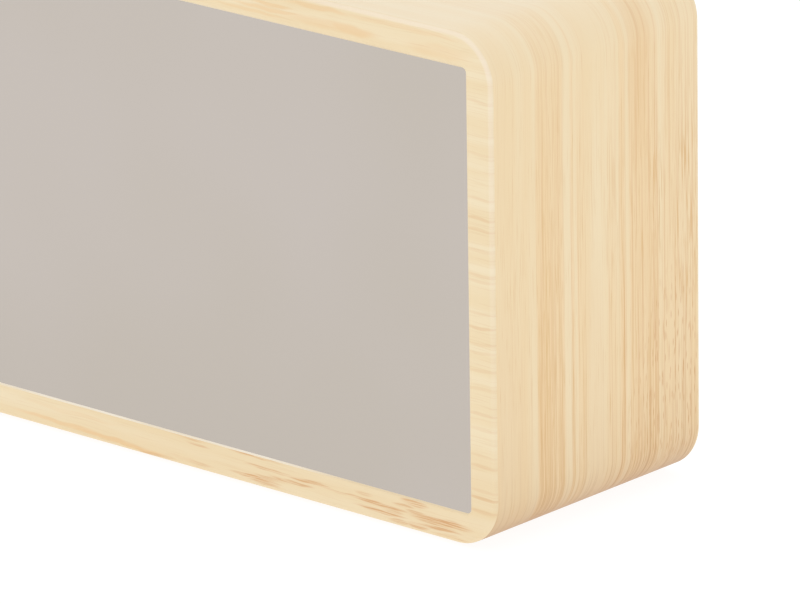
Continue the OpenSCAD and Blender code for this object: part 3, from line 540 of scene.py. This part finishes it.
# Cast silicone: greyish white and dull
SILICONE = moulded("silicone_milky_cast", "#cfcfca", "#d8d8d3", roughness=0.55)
# Glass-fibre board under green solder resist: the weave shows as a slight mottle
BOARD_FR4 = moulded("glass_fibre_board_green", "#0f5130", "#14603a", roughness=0.4, grit=1.0)
# Extruded PVC: saturated red with a soft gloss
RED_PVC = moulded("pvc_red_extruded", "#b01812", "#bd2119", roughness=0.4)
# Shrink sleeve: a glossy dark green film drawn tight over the can
SLEEVE_PVC = moulded("pvc_green_shrunk", "#2f6a5b", "#357363", roughness=0.3)
# Nickel plate on steel: warm bright metal
NICKEL = bright_metal("steel_nickel_plated", "#b9b7b2", "#cbc9c4", roughness=0.28)
# Tinned sheet: whiter and a little duller than nickel
TIN = bright_metal("steel_sheet_tinned", "#c4c4c0", "#d4d4d0", roughness=0.34)


def new_piece(name, mesh, body, slot, *nodes):
    """A visible piece at the origin that rides on a body and hides the nodes that it stands for; slot is not
    used.
    """
    piece = bpy.data.objects.new(name, mesh)
    bpy.context.scene.collection.objects.link(piece)
    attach(piece, body)
    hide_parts(*nodes)
    return piece


def meshed(name, bm, *materials):
    """A mesh from what was built, with merged doubles, outward faces, smooth sides and sharp edges."""
    bmesh.ops.remove_doubles(bm, verts=bm.verts, dist=MERGE_WITHIN)
    bmesh.ops.recalc_face_normals(bm, faces=bm.faces)
    for each in bm.faces:
        each.smooth = True
    mesh = bpy.data.meshes.new(name)
    bm.to_mesh(mesh)
    bm.free()
    mesh.set_sharp_from_angle(angle=SMOOTH_WITHIN)
    for material in materials:
        mesh.materials.append(material)
    return mesh


# The wooden case

def rounded_loop(node, grow, radius, depth):
    """Points of a node's outline, grown and round-cornered, at one depth; from the lower right, upwards."""
    low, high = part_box(node)
    mid = (low + high) / 2
    straight_x = (high.x - low.x) / 2 + grow - radius
    straight_z = (high.z - low.z) / 2 + grow - radius
    points = []
    for corner, (sx, sz) in enumerate([(1, -1), (1, 1), (-1, 1), (-1, -1)]):
        for step in range(CORNER_STEPS + 1):
            turn = math.radians(90 * (corner - 1 + step / CORNER_STEPS))
            points.append(Vector((mid.x + sx * straight_x + radius * math.cos(turn), depth,
                                  mid.z + sz * straight_z + radius * math.sin(turn))))
    return points


def case_run():
    """Distance round the case, in mm, of each point of its outline, and of the point where it closes."""
    points = rounded_loop("wood_case", 0.0, CORNER_R, 0.0)
    run = [0.0]
    for a, b in zip(points, points[1:] + points[:1]):
        run.append(run[-1] + (b - a).length / MM)
    return run


def build_case():
    """The wooden case as one closed skin, with a grain map in mm: along the fibres, then across them."""
    front, rear = case_low.y, case_high.y
    ledge_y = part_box("inner_chassis")[0].y
    # The third finish is the painted highlight on the lower edge under the mirror
    wrap, plank, edge_highlight = 0, 1, 2
    bm = bmesh.new()
    grain = bm.loops.layers.uv.new("grain")
    # The lacquer layer holds a painted highlight: how strongly the front's rounded edge is painted
    # near-white
    lacquer = bm.verts.layers.float.new("lacquer")
    run = case_run()
    count = len(run) - 1

    def face(verts, uvs, finish):
        made = bm.faces.new(verts)
        made.material_index = finish
        for loop, uv in zip(made.loops, uvs):
            loop[grain].uv = uv

    def ring(points):
        return [bm.verts.new(p) for p in points]

    def on_board(verts, shift):
        """Grain map of a board that lies along the clock."""
        return [(v.co.x / MM + shift, v.co.z / MM + shift) for v in verts]

    # Front rounding, outer wrap and rear rounding: inset, depth, and place across the wrap's grain
    turns = [math.radians(90 * k / EDGE_STEPS) for k in range(EDGE_STEPS + 1)]
    last = turns[-1]
    straight = rear - front - 2 * EDGE_R
    profile = [
        (EDGE_R * (1 - math.sin(t)), front + EDGE_R * (1 - math.cos(t)), EDGE_R * (t - last)) for t in turns]
    profile += [
        (EDGE_R * (1 - math.sin(t)), rear - EDGE_R * (1 - math.cos(t)), straight + EDGE_R * (last - t))
        for t in reversed(turns)]
    rings = [ring(rounded_loop("wood_case", -inset, CORNER_R - inset, y)) for inset, y, _ in profile]
    # Painted highlight: strongest midway round the front rounding, growing with height from SHINE_FROM to
    # SHINE_FULL
    for t, verts in zip(turns, rings):
        for v in verts:
            height = (v.co.z - SHINE_FROM) / (SHINE_FULL - SHINE_FROM)
            v[lacquer] = math.sqrt(abs(math.sin(2 * t))) * min(max(height, 0.0), 1.0)
    for k in range(len(rings) - 1):
        v0, v1 = profile[k][2] / MM, profile[k + 1][2] / MM
        for i in range(count):
            j = (i + 1) % count
            verts = [rings[k][i], rings[k][j], rings[k + 1][j], rings[k + 1][i]]
            if k == EDGE_STEPS:
                face(verts, [(run[i], v0), (run[i + 1], v0), (run[i + 1], v1), (run[i], v1)], wrap)
            else:
                face(verts, on_board(verts, FRONT_SHIFT if k < EDGE_STEPS else REAR_SHIFT), plank)

    def flat_frame(outer, inner, shift):
        """Flat face between the outline and the opening, whose grain runs along the clock."""
        for i in range(count):
            j = (i + 1) % count
            verts = [outer[i], inner[i], inner[j], outer[j]]
            face(verts, on_board(verts, shift), plank)

    def wall(first, second, lower=plank):
        """Band between two outlines of the opening, grain along it; lower is its lower side's finish."""
        for i in range(count):
            j = (i + 1) % count
            verts = [first[i], second[i], second[j], first[j]]
            across, _, up = first[j].co - first[i].co
            along = 0 if abs(across) > abs(up) else 2
            face(verts, [(v.co[along] / MM + WALL_SHIFT, v.co.y / MM + WALL_SHIFT) for v in verts],
                 lower if j == 0 else plank)

    def window(grow, radius, depth):
        return ring(rounded_loop("mirror_panel", grow, radius, depth))

    # The opening is round-cornered as far as the mirror reaches, and square behind it
    lip = window(FRAME_BEVEL, WINDOW_R + FRAME_BEVEL, front)
    throat = window(0.0, WINDOW_R, front + FRAME_BEVEL)
    seat = window(0.0, WINDOW_R, ledge_y)
    step = window(LEDGE, 0.0, ledge_y)
    mouth = window(LEDGE, 0.0, rear)
    flat_frame(rings[0], lip, FRONT_SHIFT)
    # The lower side of the bevel under the mirror gets the painted highlight
    wall(lip, throat, edge_highlight)
    wall(throat, seat)
    wall(seat, step)
    wall(step, mouth)
    flat_frame(rings[-1], mouth, REAR_SHIFT)
    mesh = meshed("wood_case_skin", bm, BAMBOO_WRAP, BAMBOO_FACE, BAMBOO_EDGE)
    new_piece("wood_case_skin", mesh, ROOT, "bamboo", "wood_case")


def mirror_sheet():
    """The half-mirror, a flat sheet with slightly rounded corners."""
    low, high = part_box("mirror_panel")
    bm = bmesh.new()
    front = [bm.verts.new(p) for p in rounded_loop("mirror_panel", 0.0, WINDOW_R, low.y)]
    rear = [bm.verts.new(p) for p in rounded_loop("mirror_panel", 0.0, WINDOW_R, high.y)]
    for i in range(len(front)):
        j = (i + 1) % len(front)
        bm.faces.new([front[i], front[j], rear[j], rear[i]])
    bm.faces.new(front)
    bm.faces.new(rear)
    mesh = meshed("mirror_panel_finished", bm, MIRROR)
    new_piece("mirror_panel_finished", mesh, ROOT, "half_mirror", "mirror_panel")


# Moulded pieces, made from their solids

def dress(name, material, bevel, slot, body=ROOT):
    """A copy of a node's solid with merged flat faces and edges softened by bevel mm, in its place."""
    bm = bmesh.new()
    bm.from_mesh(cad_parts[name].data)
    bmesh.ops.remove_doubles(bm, verts=bm.verts, dist=SOLID_MERGE_WITHIN)
    bmesh.ops.dissolve_limit(bm, angle_limit=SOLID_FLAT_WITHIN, verts=bm.verts, edges=bm.edges)
    for each in bm.faces:
        each.smooth = True
    mesh = bpy.data.meshes.new(name + "_finished")
    bm.to_mesh(mesh)
    bm.free()
    mesh.materials.clear()
    mesh.materials.append(material)
    mesh.set_sharp_from_angle(angle=SOLID_SMOOTH_WITHIN)
    piece = new_piece(name + "_finished", mesh, body, slot, name)
    if bevel:
        soft = piece.modifiers.new("soft_edges", "BEVEL")
        soft.width = bevel * MM
        soft.segments = SOFT_STEPS
        soft.limit_method = "ANGLE"
        soft.angle_limit = SOLID_SMOOTH_WITHIN
        soft.harden_normals = True


# Pieces that repeat: a shape is made once and Geometry Nodes put it in its places

def turned(profile):
    """A piece turned about Z from radii and heights, open at its upper end, and the ring of that end."""
    bm = bmesh.new()
    turns = [2 * math.pi * k / TURNED_SIDES for k in range(TURNED_SIDES)]
    rings = [[bm.verts.new((r * math.cos(t), r * math.sin(t), z)) for t in turns] for r, z in profile]
    for low, high in zip(rings, rings[1:]):
        for k in range(TURNED_SIDES):
            j = (k + 1) % TURNED_SIDES
            bm.faces.new([low[k], low[j], high[j], high[k]])
    bm.faces.new(rings[0][::-1])
    return bm, rings[-1]


def cross_head_screw(length):
    """Countersunk screw with a cross recess, its head's face at the origin and its shank below."""
    head = SCREW_HEAD_R - SCREW_SHANK_R
    tip = SCREW_SHANK_R / 2
    bm, rim = turned([(tip, -length), (SCREW_SHANK_R, SCREW_SHANK_R - length), (SCREW_SHANK_R, -head),
                      (SCREW_HEAD_R, -SCREW_RIM), (SCREW_HEAD_R, 0.0)])
    long, wide = CROSS_LENGTH / 2, CROSS_WIDTH / 2
    arm = [(long, -wide), (long, wide), (wide, wide)]
    points = [(x * c - y * s, x * s + y * c) for c, s in ((1, 0), (0, 1), (-1, 0), (0, -1)) for x, y in arm]
    mouth = [bm.verts.new((x, y, 0.0)) for x, y in points]
    floor = [bm.verts.new((x * CROSS_TAPER, y * CROSS_TAPER, -CROSS_DEPTH)) for x, y in points]
    for i in range(len(points)):
        j = (i + 1) % len(points)
        bm.faces.new([mouth[i], mouth[j], floor[j], floor[i]])
    bm.faces.new(floor)
    edges = [bm.edges.get((ring[i], ring[(i + 1) % len(ring)]))
             for ring in (rim, mouth) for i in range(len(ring))]
    bmesh.ops.bridge_loops(bm, edges=edges)
    return meshed("cross_head_screw", bm, NICKEL)


def closed_turning(name, profile, material):
    """A turned piece whose upper end is closed too."""
    bm, rim = turned(profile)
    bm.faces.new(rim)
    return meshed(name, bm, material)


def sized_tree(name, sizes):
    """A geometry tree with a named input for each size, and the sockets that hand the sizes out."""
    kinds = {float: "NodeSocketFloat", int: "NodeSocketInt", Vector: "NodeSocketVector",
             bpy.types.Object: "NodeSocketObject"}
    tree = bpy.data.node_groups.new(name, "GeometryNodeTree")
    tree.interface.new_socket("Geometry", in_out="INPUT", socket_type="NodeSocketGeometry")
    tree.interface.new_socket("Geometry", in_out="OUTPUT", socket_type="NodeSocketGeometry")
    for label, value in sizes.items():
        tree.interface.new_socket(label, in_out="INPUT", socket_type=kinds[type(value)])
    return tree, add(tree, "NodeGroupInput").outputs


def grown(tree, shape, sizes, material):
    """The plain mesh that a tree makes from its shape and sizes."""
    real = add(tree, "GeometryNodeRealizeInstances", {"Geometry": shape})
    done = add(tree, "GeometryNodeSetMaterial", {"Geometry": real, "Material": material})
    add(tree, "NodeGroupOutput", {"Geometry": done})
    carrier = bpy.data.objects.new(tree.name, bpy.data.meshes.new(tree.name + "_start"))
    bpy.context.scene.collection.objects.link(carrier)
    maker = carrier.modifiers.new("maker", "NODES")
    maker.node_group = tree
    for item in tree.interface.items_tree:
        if item.in_out == "INPUT" and item.name in sizes:
            maker[item.identifier] = sizes[item.name]
    graph = bpy.context.evaluated_depsgraph_get()
    mesh = bpy.data.meshes.new_from_object(carrier.evaluated_get(graph), depsgraph=graph)
    carrier.modifiers.remove(maker)
    bpy.data.objects.remove(carrier)
    return mesh


def pattern_of(mesh):
    """An object that holds a shape while a tree repeats it."""
    holder = bpy.data.objects.new(mesh.name + "_pattern", mesh)
    bpy.context.scene.collection.objects.link(holder)
    return holder


def in_corners(name, mesh, across, along, centre, lean, spin, seed, material):
    """A shape at the corners of a rectangle that leans about X; each is turned by chance, up to spin."""
    holder = pattern_of(mesh)
    sizes = {"Shape": holder, "Across": across, "Along": along, "Centre": centre, "Lean": lean, "Spin": spin,
             "Seed": seed}
    tree, size = sized_tree(name, sizes)
    grid = add(tree, "GeometryNodeMeshGrid", {
        "Size X": size["Across"], "Size Y": size["Along"], "Vertices X": 2, "Vertices Y": 2})
    tilt = add(tree, "ShaderNodeCombineXYZ", {"X": size["Lean"]})
    laid = add(tree, "GeometryNodeTransform", {
        "Geometry": grid, "Translation": size["Centre"], "Rotation": tilt})
    chance = add(tree, "FunctionNodeRandomValue", {
        "Max": size["Spin"], "Seed": size["Seed"]}, data_type="FLOAT")
    turn = add(tree, "ShaderNodeCombineXYZ", {"X": size["Lean"], "Y": chance})
    shape = add(tree, "GeometryNodeObjectInfo", {"Object": size["Shape"]})
    placed = add(tree, "GeometryNodeInstanceOnPoints", {
        "Points": laid, "Instance": shape.outputs["Geometry"], "Rotation": turn})
    made = grown(tree, placed, sizes, material)
    bpy.data.objects.remove(holder)
    return made


def in_cell_row(name, mesh, half_span, material):
    """A shape once for each cell, at half_span to the left and right by turns and pointing to the middle."""
    low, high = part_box("battery_cells")
    cell_d = high.y - low.y
    holder = pattern_of(mesh)
    mid = (low + high) / 2
    sizes = {"Shape": holder, "Start": Vector((mid.x, mid.y, high.z - cell_d / 2)), "Half span": half_span,
             "Pitch": (high.z - low.z - cell_d) / (CELL_COUNT - 1), "Cells": CELL_COUNT}
    tree, size = sized_tree(name, sizes)
    down = add(tree, "ShaderNodeMath", {0: size["Pitch"], 1: -1.0}, operation="MULTIPLY")
    step = add(tree, "ShaderNodeCombineXYZ", {"Z": down})
    row = add(tree, "GeometryNodeMeshLine", {
        "Count": size["Cells"], "Start Location": size["Start"], "Offset": step})
    odd = add(tree, "ShaderNodeMath", {0: add(tree, "GeometryNodeInputIndex"), 1: 2.0}, operation="MODULO")
    side = add(tree, "ShaderNodeMath", {0: odd, 1: 2.0, 2: -1.0}, operation="MULTIPLY_ADD")
    away = add(tree, "ShaderNodeMath", {0: side, 1: size["Half span"]}, operation="MULTIPLY")
    shift = add(tree, "ShaderNodeCombineXYZ", {"X": away})
    spots = add(tree, "GeometryNodeSetPosition", {"Geometry": row, "Offset": shift})
    lean = add(tree, "ShaderNodeMath", {0: side, 1: -math.pi / 2}, operation="MULTIPLY")
    turn = add(tree, "ShaderNodeCombineXYZ", {"Y": lean})
    shape = add(tree, "GeometryNodeObjectInfo", {"Object": size["Shape"]})
    placed = add(tree, "GeometryNodeInstanceOnPoints", {
        "Points": spots, "Instance": shape.outputs["Geometry"], "Rotation": turn})
    made = grown(tree, placed, sizes, material)
    bpy.data.objects.remove(holder)
    return made


def cone_spring():
    """A contact spring: wire swept along a conical spiral, from its plate at the origin up to the cell."""
    sizes = {"Wide radius": SPRING_WIDE_R, "Narrow radius": SPRING_NARROW_R, "Turns": SPRING_TURNS,
             "Rise": SPRING_LENGTH - SPRING_WIRE, "Wire radius": SPRING_WIRE / 2}
    tree, size = sized_tree("cone_spring", sizes)
    spiral = add(tree, "GeometryNodeCurveSpiral", {
        "Resolution": SPRING_STEPS, "Rotations": size["Turns"], "Start Radius": size["Wide radius"],
        "End Radius": size["Narrow radius"], "Height": size["Rise"]})
    wire = add(tree, "GeometryNodeCurvePrimitiveCircle", {
        "Resolution": WIRE_SIDES, "Radius": size["Wire radius"]})
    swept = add(tree, "GeometryNodeCurveToMesh", {"Curve": spiral, "Profile Curve": wire, "Fill Caps": True})
    lift = add(tree, "ShaderNodeCombineXYZ", {"Z": size["Wire radius"]})
    raised = add(tree, "GeometryNodeTransform", {"Geometry": swept, "Translation": lift})
    return grown(tree, raised, sizes, NICKEL)


def cover_screws():
    """Four countersunk screws in the corners of the cover, each turned as its driver left it."""
    low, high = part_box("cover_screws")
    head_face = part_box("rear_cover")[1].y - SCREW_SUNK
    mid = (low + high) / 2
    centre = Vector((mid.x, head_face, mid.z))
    mesh = in_corners("cover_screw_corners", cross_head_screw(head_face - low.y),
                      high.x - low.x - 2 * SCREW_HEAD_R, high.z - low.z - 2 * SCREW_HEAD_R, centre,
                      lean=-math.pi / 2, spin=math.pi, seed=SCREW_SEED, material=NICKEL)
    new_piece("cover_screws_finished", mesh, ROOT, "screw_steel", "cover_screws")


def foot_pads():
    """Four round pads under the case, their lower edges rounded."""
    low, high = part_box("foot_pads")
    height = high.z - low.z
    turns = [math.radians(90 * k / PAD_STEPS) for k in range(PAD_STEPS + 1)]
    profile = [(PAD_R - PAD_ROUND * (1 - math.sin(t)), PAD_ROUND * (1 - math.cos(t))) for t in turns]
    mesh = closed_turning("foot_pad", profile + [(PAD_R, height)], SILICONE)
    centre = Vector(((low.x + high.x) / 2, (low.y + high.y) / 2, low.z))
    mesh = in_corners("foot_pad_corners", mesh, high.x - low.x - 2 * PAD_R, high.y - low.y - 2 * PAD_R,
                      centre, lean=0.0, spin=0.0, seed=0, material=SILICONE)
    new_piece("foot_pads_finished", mesh, ROOT, "pad", "foot_pads")


def battery_row():
    """The four cells, each a nickel-plated can in a shrunk sleeve, and the spring behind each."""
    low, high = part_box("battery_cells")
    reach = (high.x - low.x) / 2
    cell_r = (high.y - low.y) / 2
    can_top = CELL_LENGTH - NUB_LENGTH
    lip = SLEEVE_LIP
    can = closed_turning("cell_can", [
        (cell_r - 3 * lip, 0.0), (cell_r - 2 * lip, lip), (cell_r - 2 * lip, can_top - lip),
        (cell_r - 3 * lip, can_top), (NUB_R + lip, can_top), (NUB_R, can_top + lip / 2),
        (NUB_R, CELL_LENGTH - lip), (NUB_R - lip, CELL_LENGTH)], NICKEL)
    sleeve = closed_turning("cell_sleeve", [
        (cell_r - 2 * lip, lip / 2), (cell_r - lip, lip / 2), (cell_r, 1.5 * lip),
        (cell_r, can_top - 2 * lip), (cell_r - lip, can_top - lip / 2),
        (cell_r - 2 * lip, can_top - lip / 2)], SLEEVE_PVC)
    half_span = CELL_LENGTH - reach
    cans = in_cell_row("cell_can_row", can, half_span, NICKEL)
    sleeves = in_cell_row("cell_sleeve_row", sleeve, half_span, SLEEVE_PVC)
    new_piece("cell_sleeves_finished", sleeves, ROOT, "cell_sleeve", "battery_cells")
    new_piece("cell_cans_finished", cans, ROOT, "tin")
    springs = in_cell_row("contact_spring_row", cone_spring(), reach, NICKEL)
    new_piece("contact_springs_finished", springs, ROOT, "tin", "contact_springs")


# Printed marks on the keys

def arc(radius, start, end, steps, centre=(0.0, 0.0)):
    """Points of an arc in mm, between two angles in degrees."""
    turns = [math.radians(start + (end - start) * k / steps) for k in range(steps + 1)]
    return [(centre[0] + radius * math.cos(t), centre[1] + radius * math.sin(t)) for t in turns]


def stroke(bm, points, closed, on_face):
    """A ribbon of print along points in mm; on_face puts its points a little above or below a key's face."""
    count = len(points)
    rails = []
    for i, point in enumerate(points):
        before = points[i - 1] if closed or i else point
        after = points[(i + 1) % count] if closed or i < count - 1 else point
        ahead = (Vector(after) - Vector(before)).normalized()
        half = Vector((-ahead.y, ahead.x)) * STROKE_HALF
        rails.append([bm.verts.new(on_face(Vector(point) + side * half, lift))
                      for side, lift in ((-1, -1), (1, -1), (1, 1), (-1, 1))])
    for i in range(count if closed else count - 1):
        a, b = rails[i], rails[(i + 1) % count]
        for k in range(len(a)):
            j = (k + 1) % len(a)
            bm.faces.new([a[k], a[j], b[j], b[k]])
    if not closed:
        bm.faces.new(rails[0])
        bm.faces.new(rails[-1])


# Lines of each mark, in mm from its middle, and whether they close
BELL = [(-1.0, -0.6), (-0.75, -0.25)] + arc(0.75, 180, 0, 10, (0.0, 0.3)) + [(0.75, -0.25), (1.0, -0.6)]
MARKS = {
    "time": [(arc(1.35, 90, 435, 23), True), ([(0.0, 0.85), (0.0, 0.4), (0.0, 0.0), (0.6, 0.0)], False)],
    "alarm": [(BELL, True), ([(-0.3, -1.05), (0.3, -1.05)], False)],
    "up": [([(-1.2, 0.0), (-0.4, 0.0), (0.4, 0.0), (1.2, 0.0)], False),
           ([(0.0, -1.2), (0.0, -0.4), (0.0, -STROKE_HALF)], False),
           ([(0.0, STROKE_HALF), (0.0, 0.4), (0.0, 1.2)], False)],
    "down": [([(-1.2, 0.0), (-0.4, 0.0), (0.4, 0.0), (1.2, 0.0)], False)],
}


def key_mark(key):
    """The printed mark in a key's dish, readable from the rear."""
    low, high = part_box("key_" + key)
    mid = (low + high) / 2
    dish_ball = (DISH_R ** 2 + DISH_DEPTH ** 2) / (2 * DISH_DEPTH)

    def on_face(point, lift):
        reach = point.length * MM
        face = high.y - DISH_DEPTH + dish_ball - math.sqrt(dish_ball ** 2 - reach ** 2)
        return mid.x - point.x * MM, face + lift * MARK_PROUD, mid.z + point.y * MM

    bm = bmesh.new()
    for points, closed in MARKS[key]:
        stroke(bm, points, closed, on_face)
    mesh = meshed("mark_" + key, bm, MARK_INK)
    new_piece("mark_" + key, mesh, "key_" + key, "ivory_plastic")


build_case()
mirror_sheet()
dress("rear_cover", COVER_ABS, COVER_SOFT, "cover_plastic")
dress("battery_door", COVER_ABS, DOOR_SOFT, "cover_plastic", "battery_door")
dress("usb_shell", TIN, SHELL_SOFT, "tin")
for key in MARKS:
    dress("key_" + key, KEY_ABS, 0.0, "key_plastic", "key_" + key)
    key_mark(key)
cover_screws()
foot_pads()
battery_row()

# Pieces that stay as their solids show them
FINISHES = {
    "corner_blocks": PINE, "light_mask": BLACK_ABS, "inner_chassis": BLACK_ABS,
    "display_reflector": BLACK_ABS, "segment_diffusers": MILKY_PC, "segment_leds": IVORY_NYLON,
    "main_board": BOARD_FR4, "clock_chip": BLACK_ABS, "quartz_crystal": TIN, "filter_capacitor": BLACK_ABS,
    "backup_cell": NICKEL, "backup_cell_clip": TIN, "chip_resistors": BLACK_ABS,
    "ribbon_sockets": IVORY_NYLON, "ribbon_cable": MILKY_PC, "board_screws": NICKEL,
    "key_board": BOARD_FR4, "tact_switches": BLACK_ABS, "plunger_time": BLACK_ABS,
    "plunger_alarm": BLACK_ABS, "plunger_up": BLACK_ABS, "plunger_down": BLACK_ABS, "buzzer": BLACK_ABS,
    "usb_insert": BLACK_ABS, "key_board_screws": NICKEL, "contact_plates": TIN,
    "battery_lead_red": RED_PVC, "battery_lead_black": BLACK_ABS,
}
for name, material in FINISHES.items():
    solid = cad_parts[name]
    if not solid.material_slots:
        solid.data.materials.append(material)
    for place in solid.material_slots:
        place.material = material


# Studio

def studio_floor():
    """White paper sweep that glows a little, so that it stays white up to the clock."""
    material, _, _ = new_material("paper_white_sweep", Base_Color=linear("#6a6a6a"), Roughness=0.9,
                                  Emission_Color=(1, 1, 1, 1), Emission_Strength=FLOOR_GLOW)
    bpy.ops.mesh.primitive_plane_add(size=FLOOR_SIZE)
    floor = bpy.context.object
    floor.name = "studio_floor"
    floor.data.materials.append(material)


def soft_box(name, place, size, power):
    """A round soft light that faces the clock."""
    data = bpy.data.lights.new(name, "AREA")
    data.shape = "DISK"
    data.size = size
    data.energy = power
    lamp = bpy.data.objects.new(name, data)
    bpy.context.scene.collection.objects.link(lamp)
    lamp.location = place
    lamp.rotation_euler = (LIGHT_AIM - Vector(place)).to_track_quat("-Z", "Y").to_euler()


def studio_world():
    """Even white room."""
    world = bpy.data.worlds.new("white_room")
    world.use_nodes = True
    sky = world.node_tree.nodes["Background"]
    sky.inputs["Color"].default_value = (1, 1, 1, 1)
    sky.inputs["Strength"].default_value = ROOM_LIGHT
    bpy.context.scene.world = world
    bpy.context.scene.view_settings.view_transform = "Standard"


def photo_camera():
    """Camera at the photograph's place, with its slight roll."""
    azimuth, elevation, roll = (math.radians(a) for a in (VIEW_AZIMUTH, VIEW_ELEVATION, VIEW_ROLL))
    back = Vector((math.sin(azimuth) * math.cos(elevation), -math.cos(azimuth) * math.cos(elevation),
                   math.sin(elevation)))
    level = Vector((math.cos(azimuth), math.sin(azimuth), 0))
    upward = back.cross(level)
    right = level * math.cos(roll) + upward * math.sin(roll)
    up = upward * math.cos(roll) - level * math.sin(roll)
    data = bpy.data.cameras.new("photo_camera")
    data.lens = VIEW_LENS
    data.sensor_width = SENSOR_WIDTH
    data.clip_end = VIEW_REACH
    camera = bpy.data.objects.new("photo_camera", data)
    bpy.context.scene.collection.objects.link(camera)
    turn = Matrix((right, up, back)).transposed().to_4x4()
    camera.matrix_world = Matrix.Translation(Vector(VIEW_AIM) * MM + back * VIEW_DISTANCE * MM) @ turn
    bpy.context.scene.camera = camera


studio_floor()
studio_world()
for name, (place, size, power) in SOFT_BOXES.items():
    soft_box(name, place, size, power)
photo_camera()
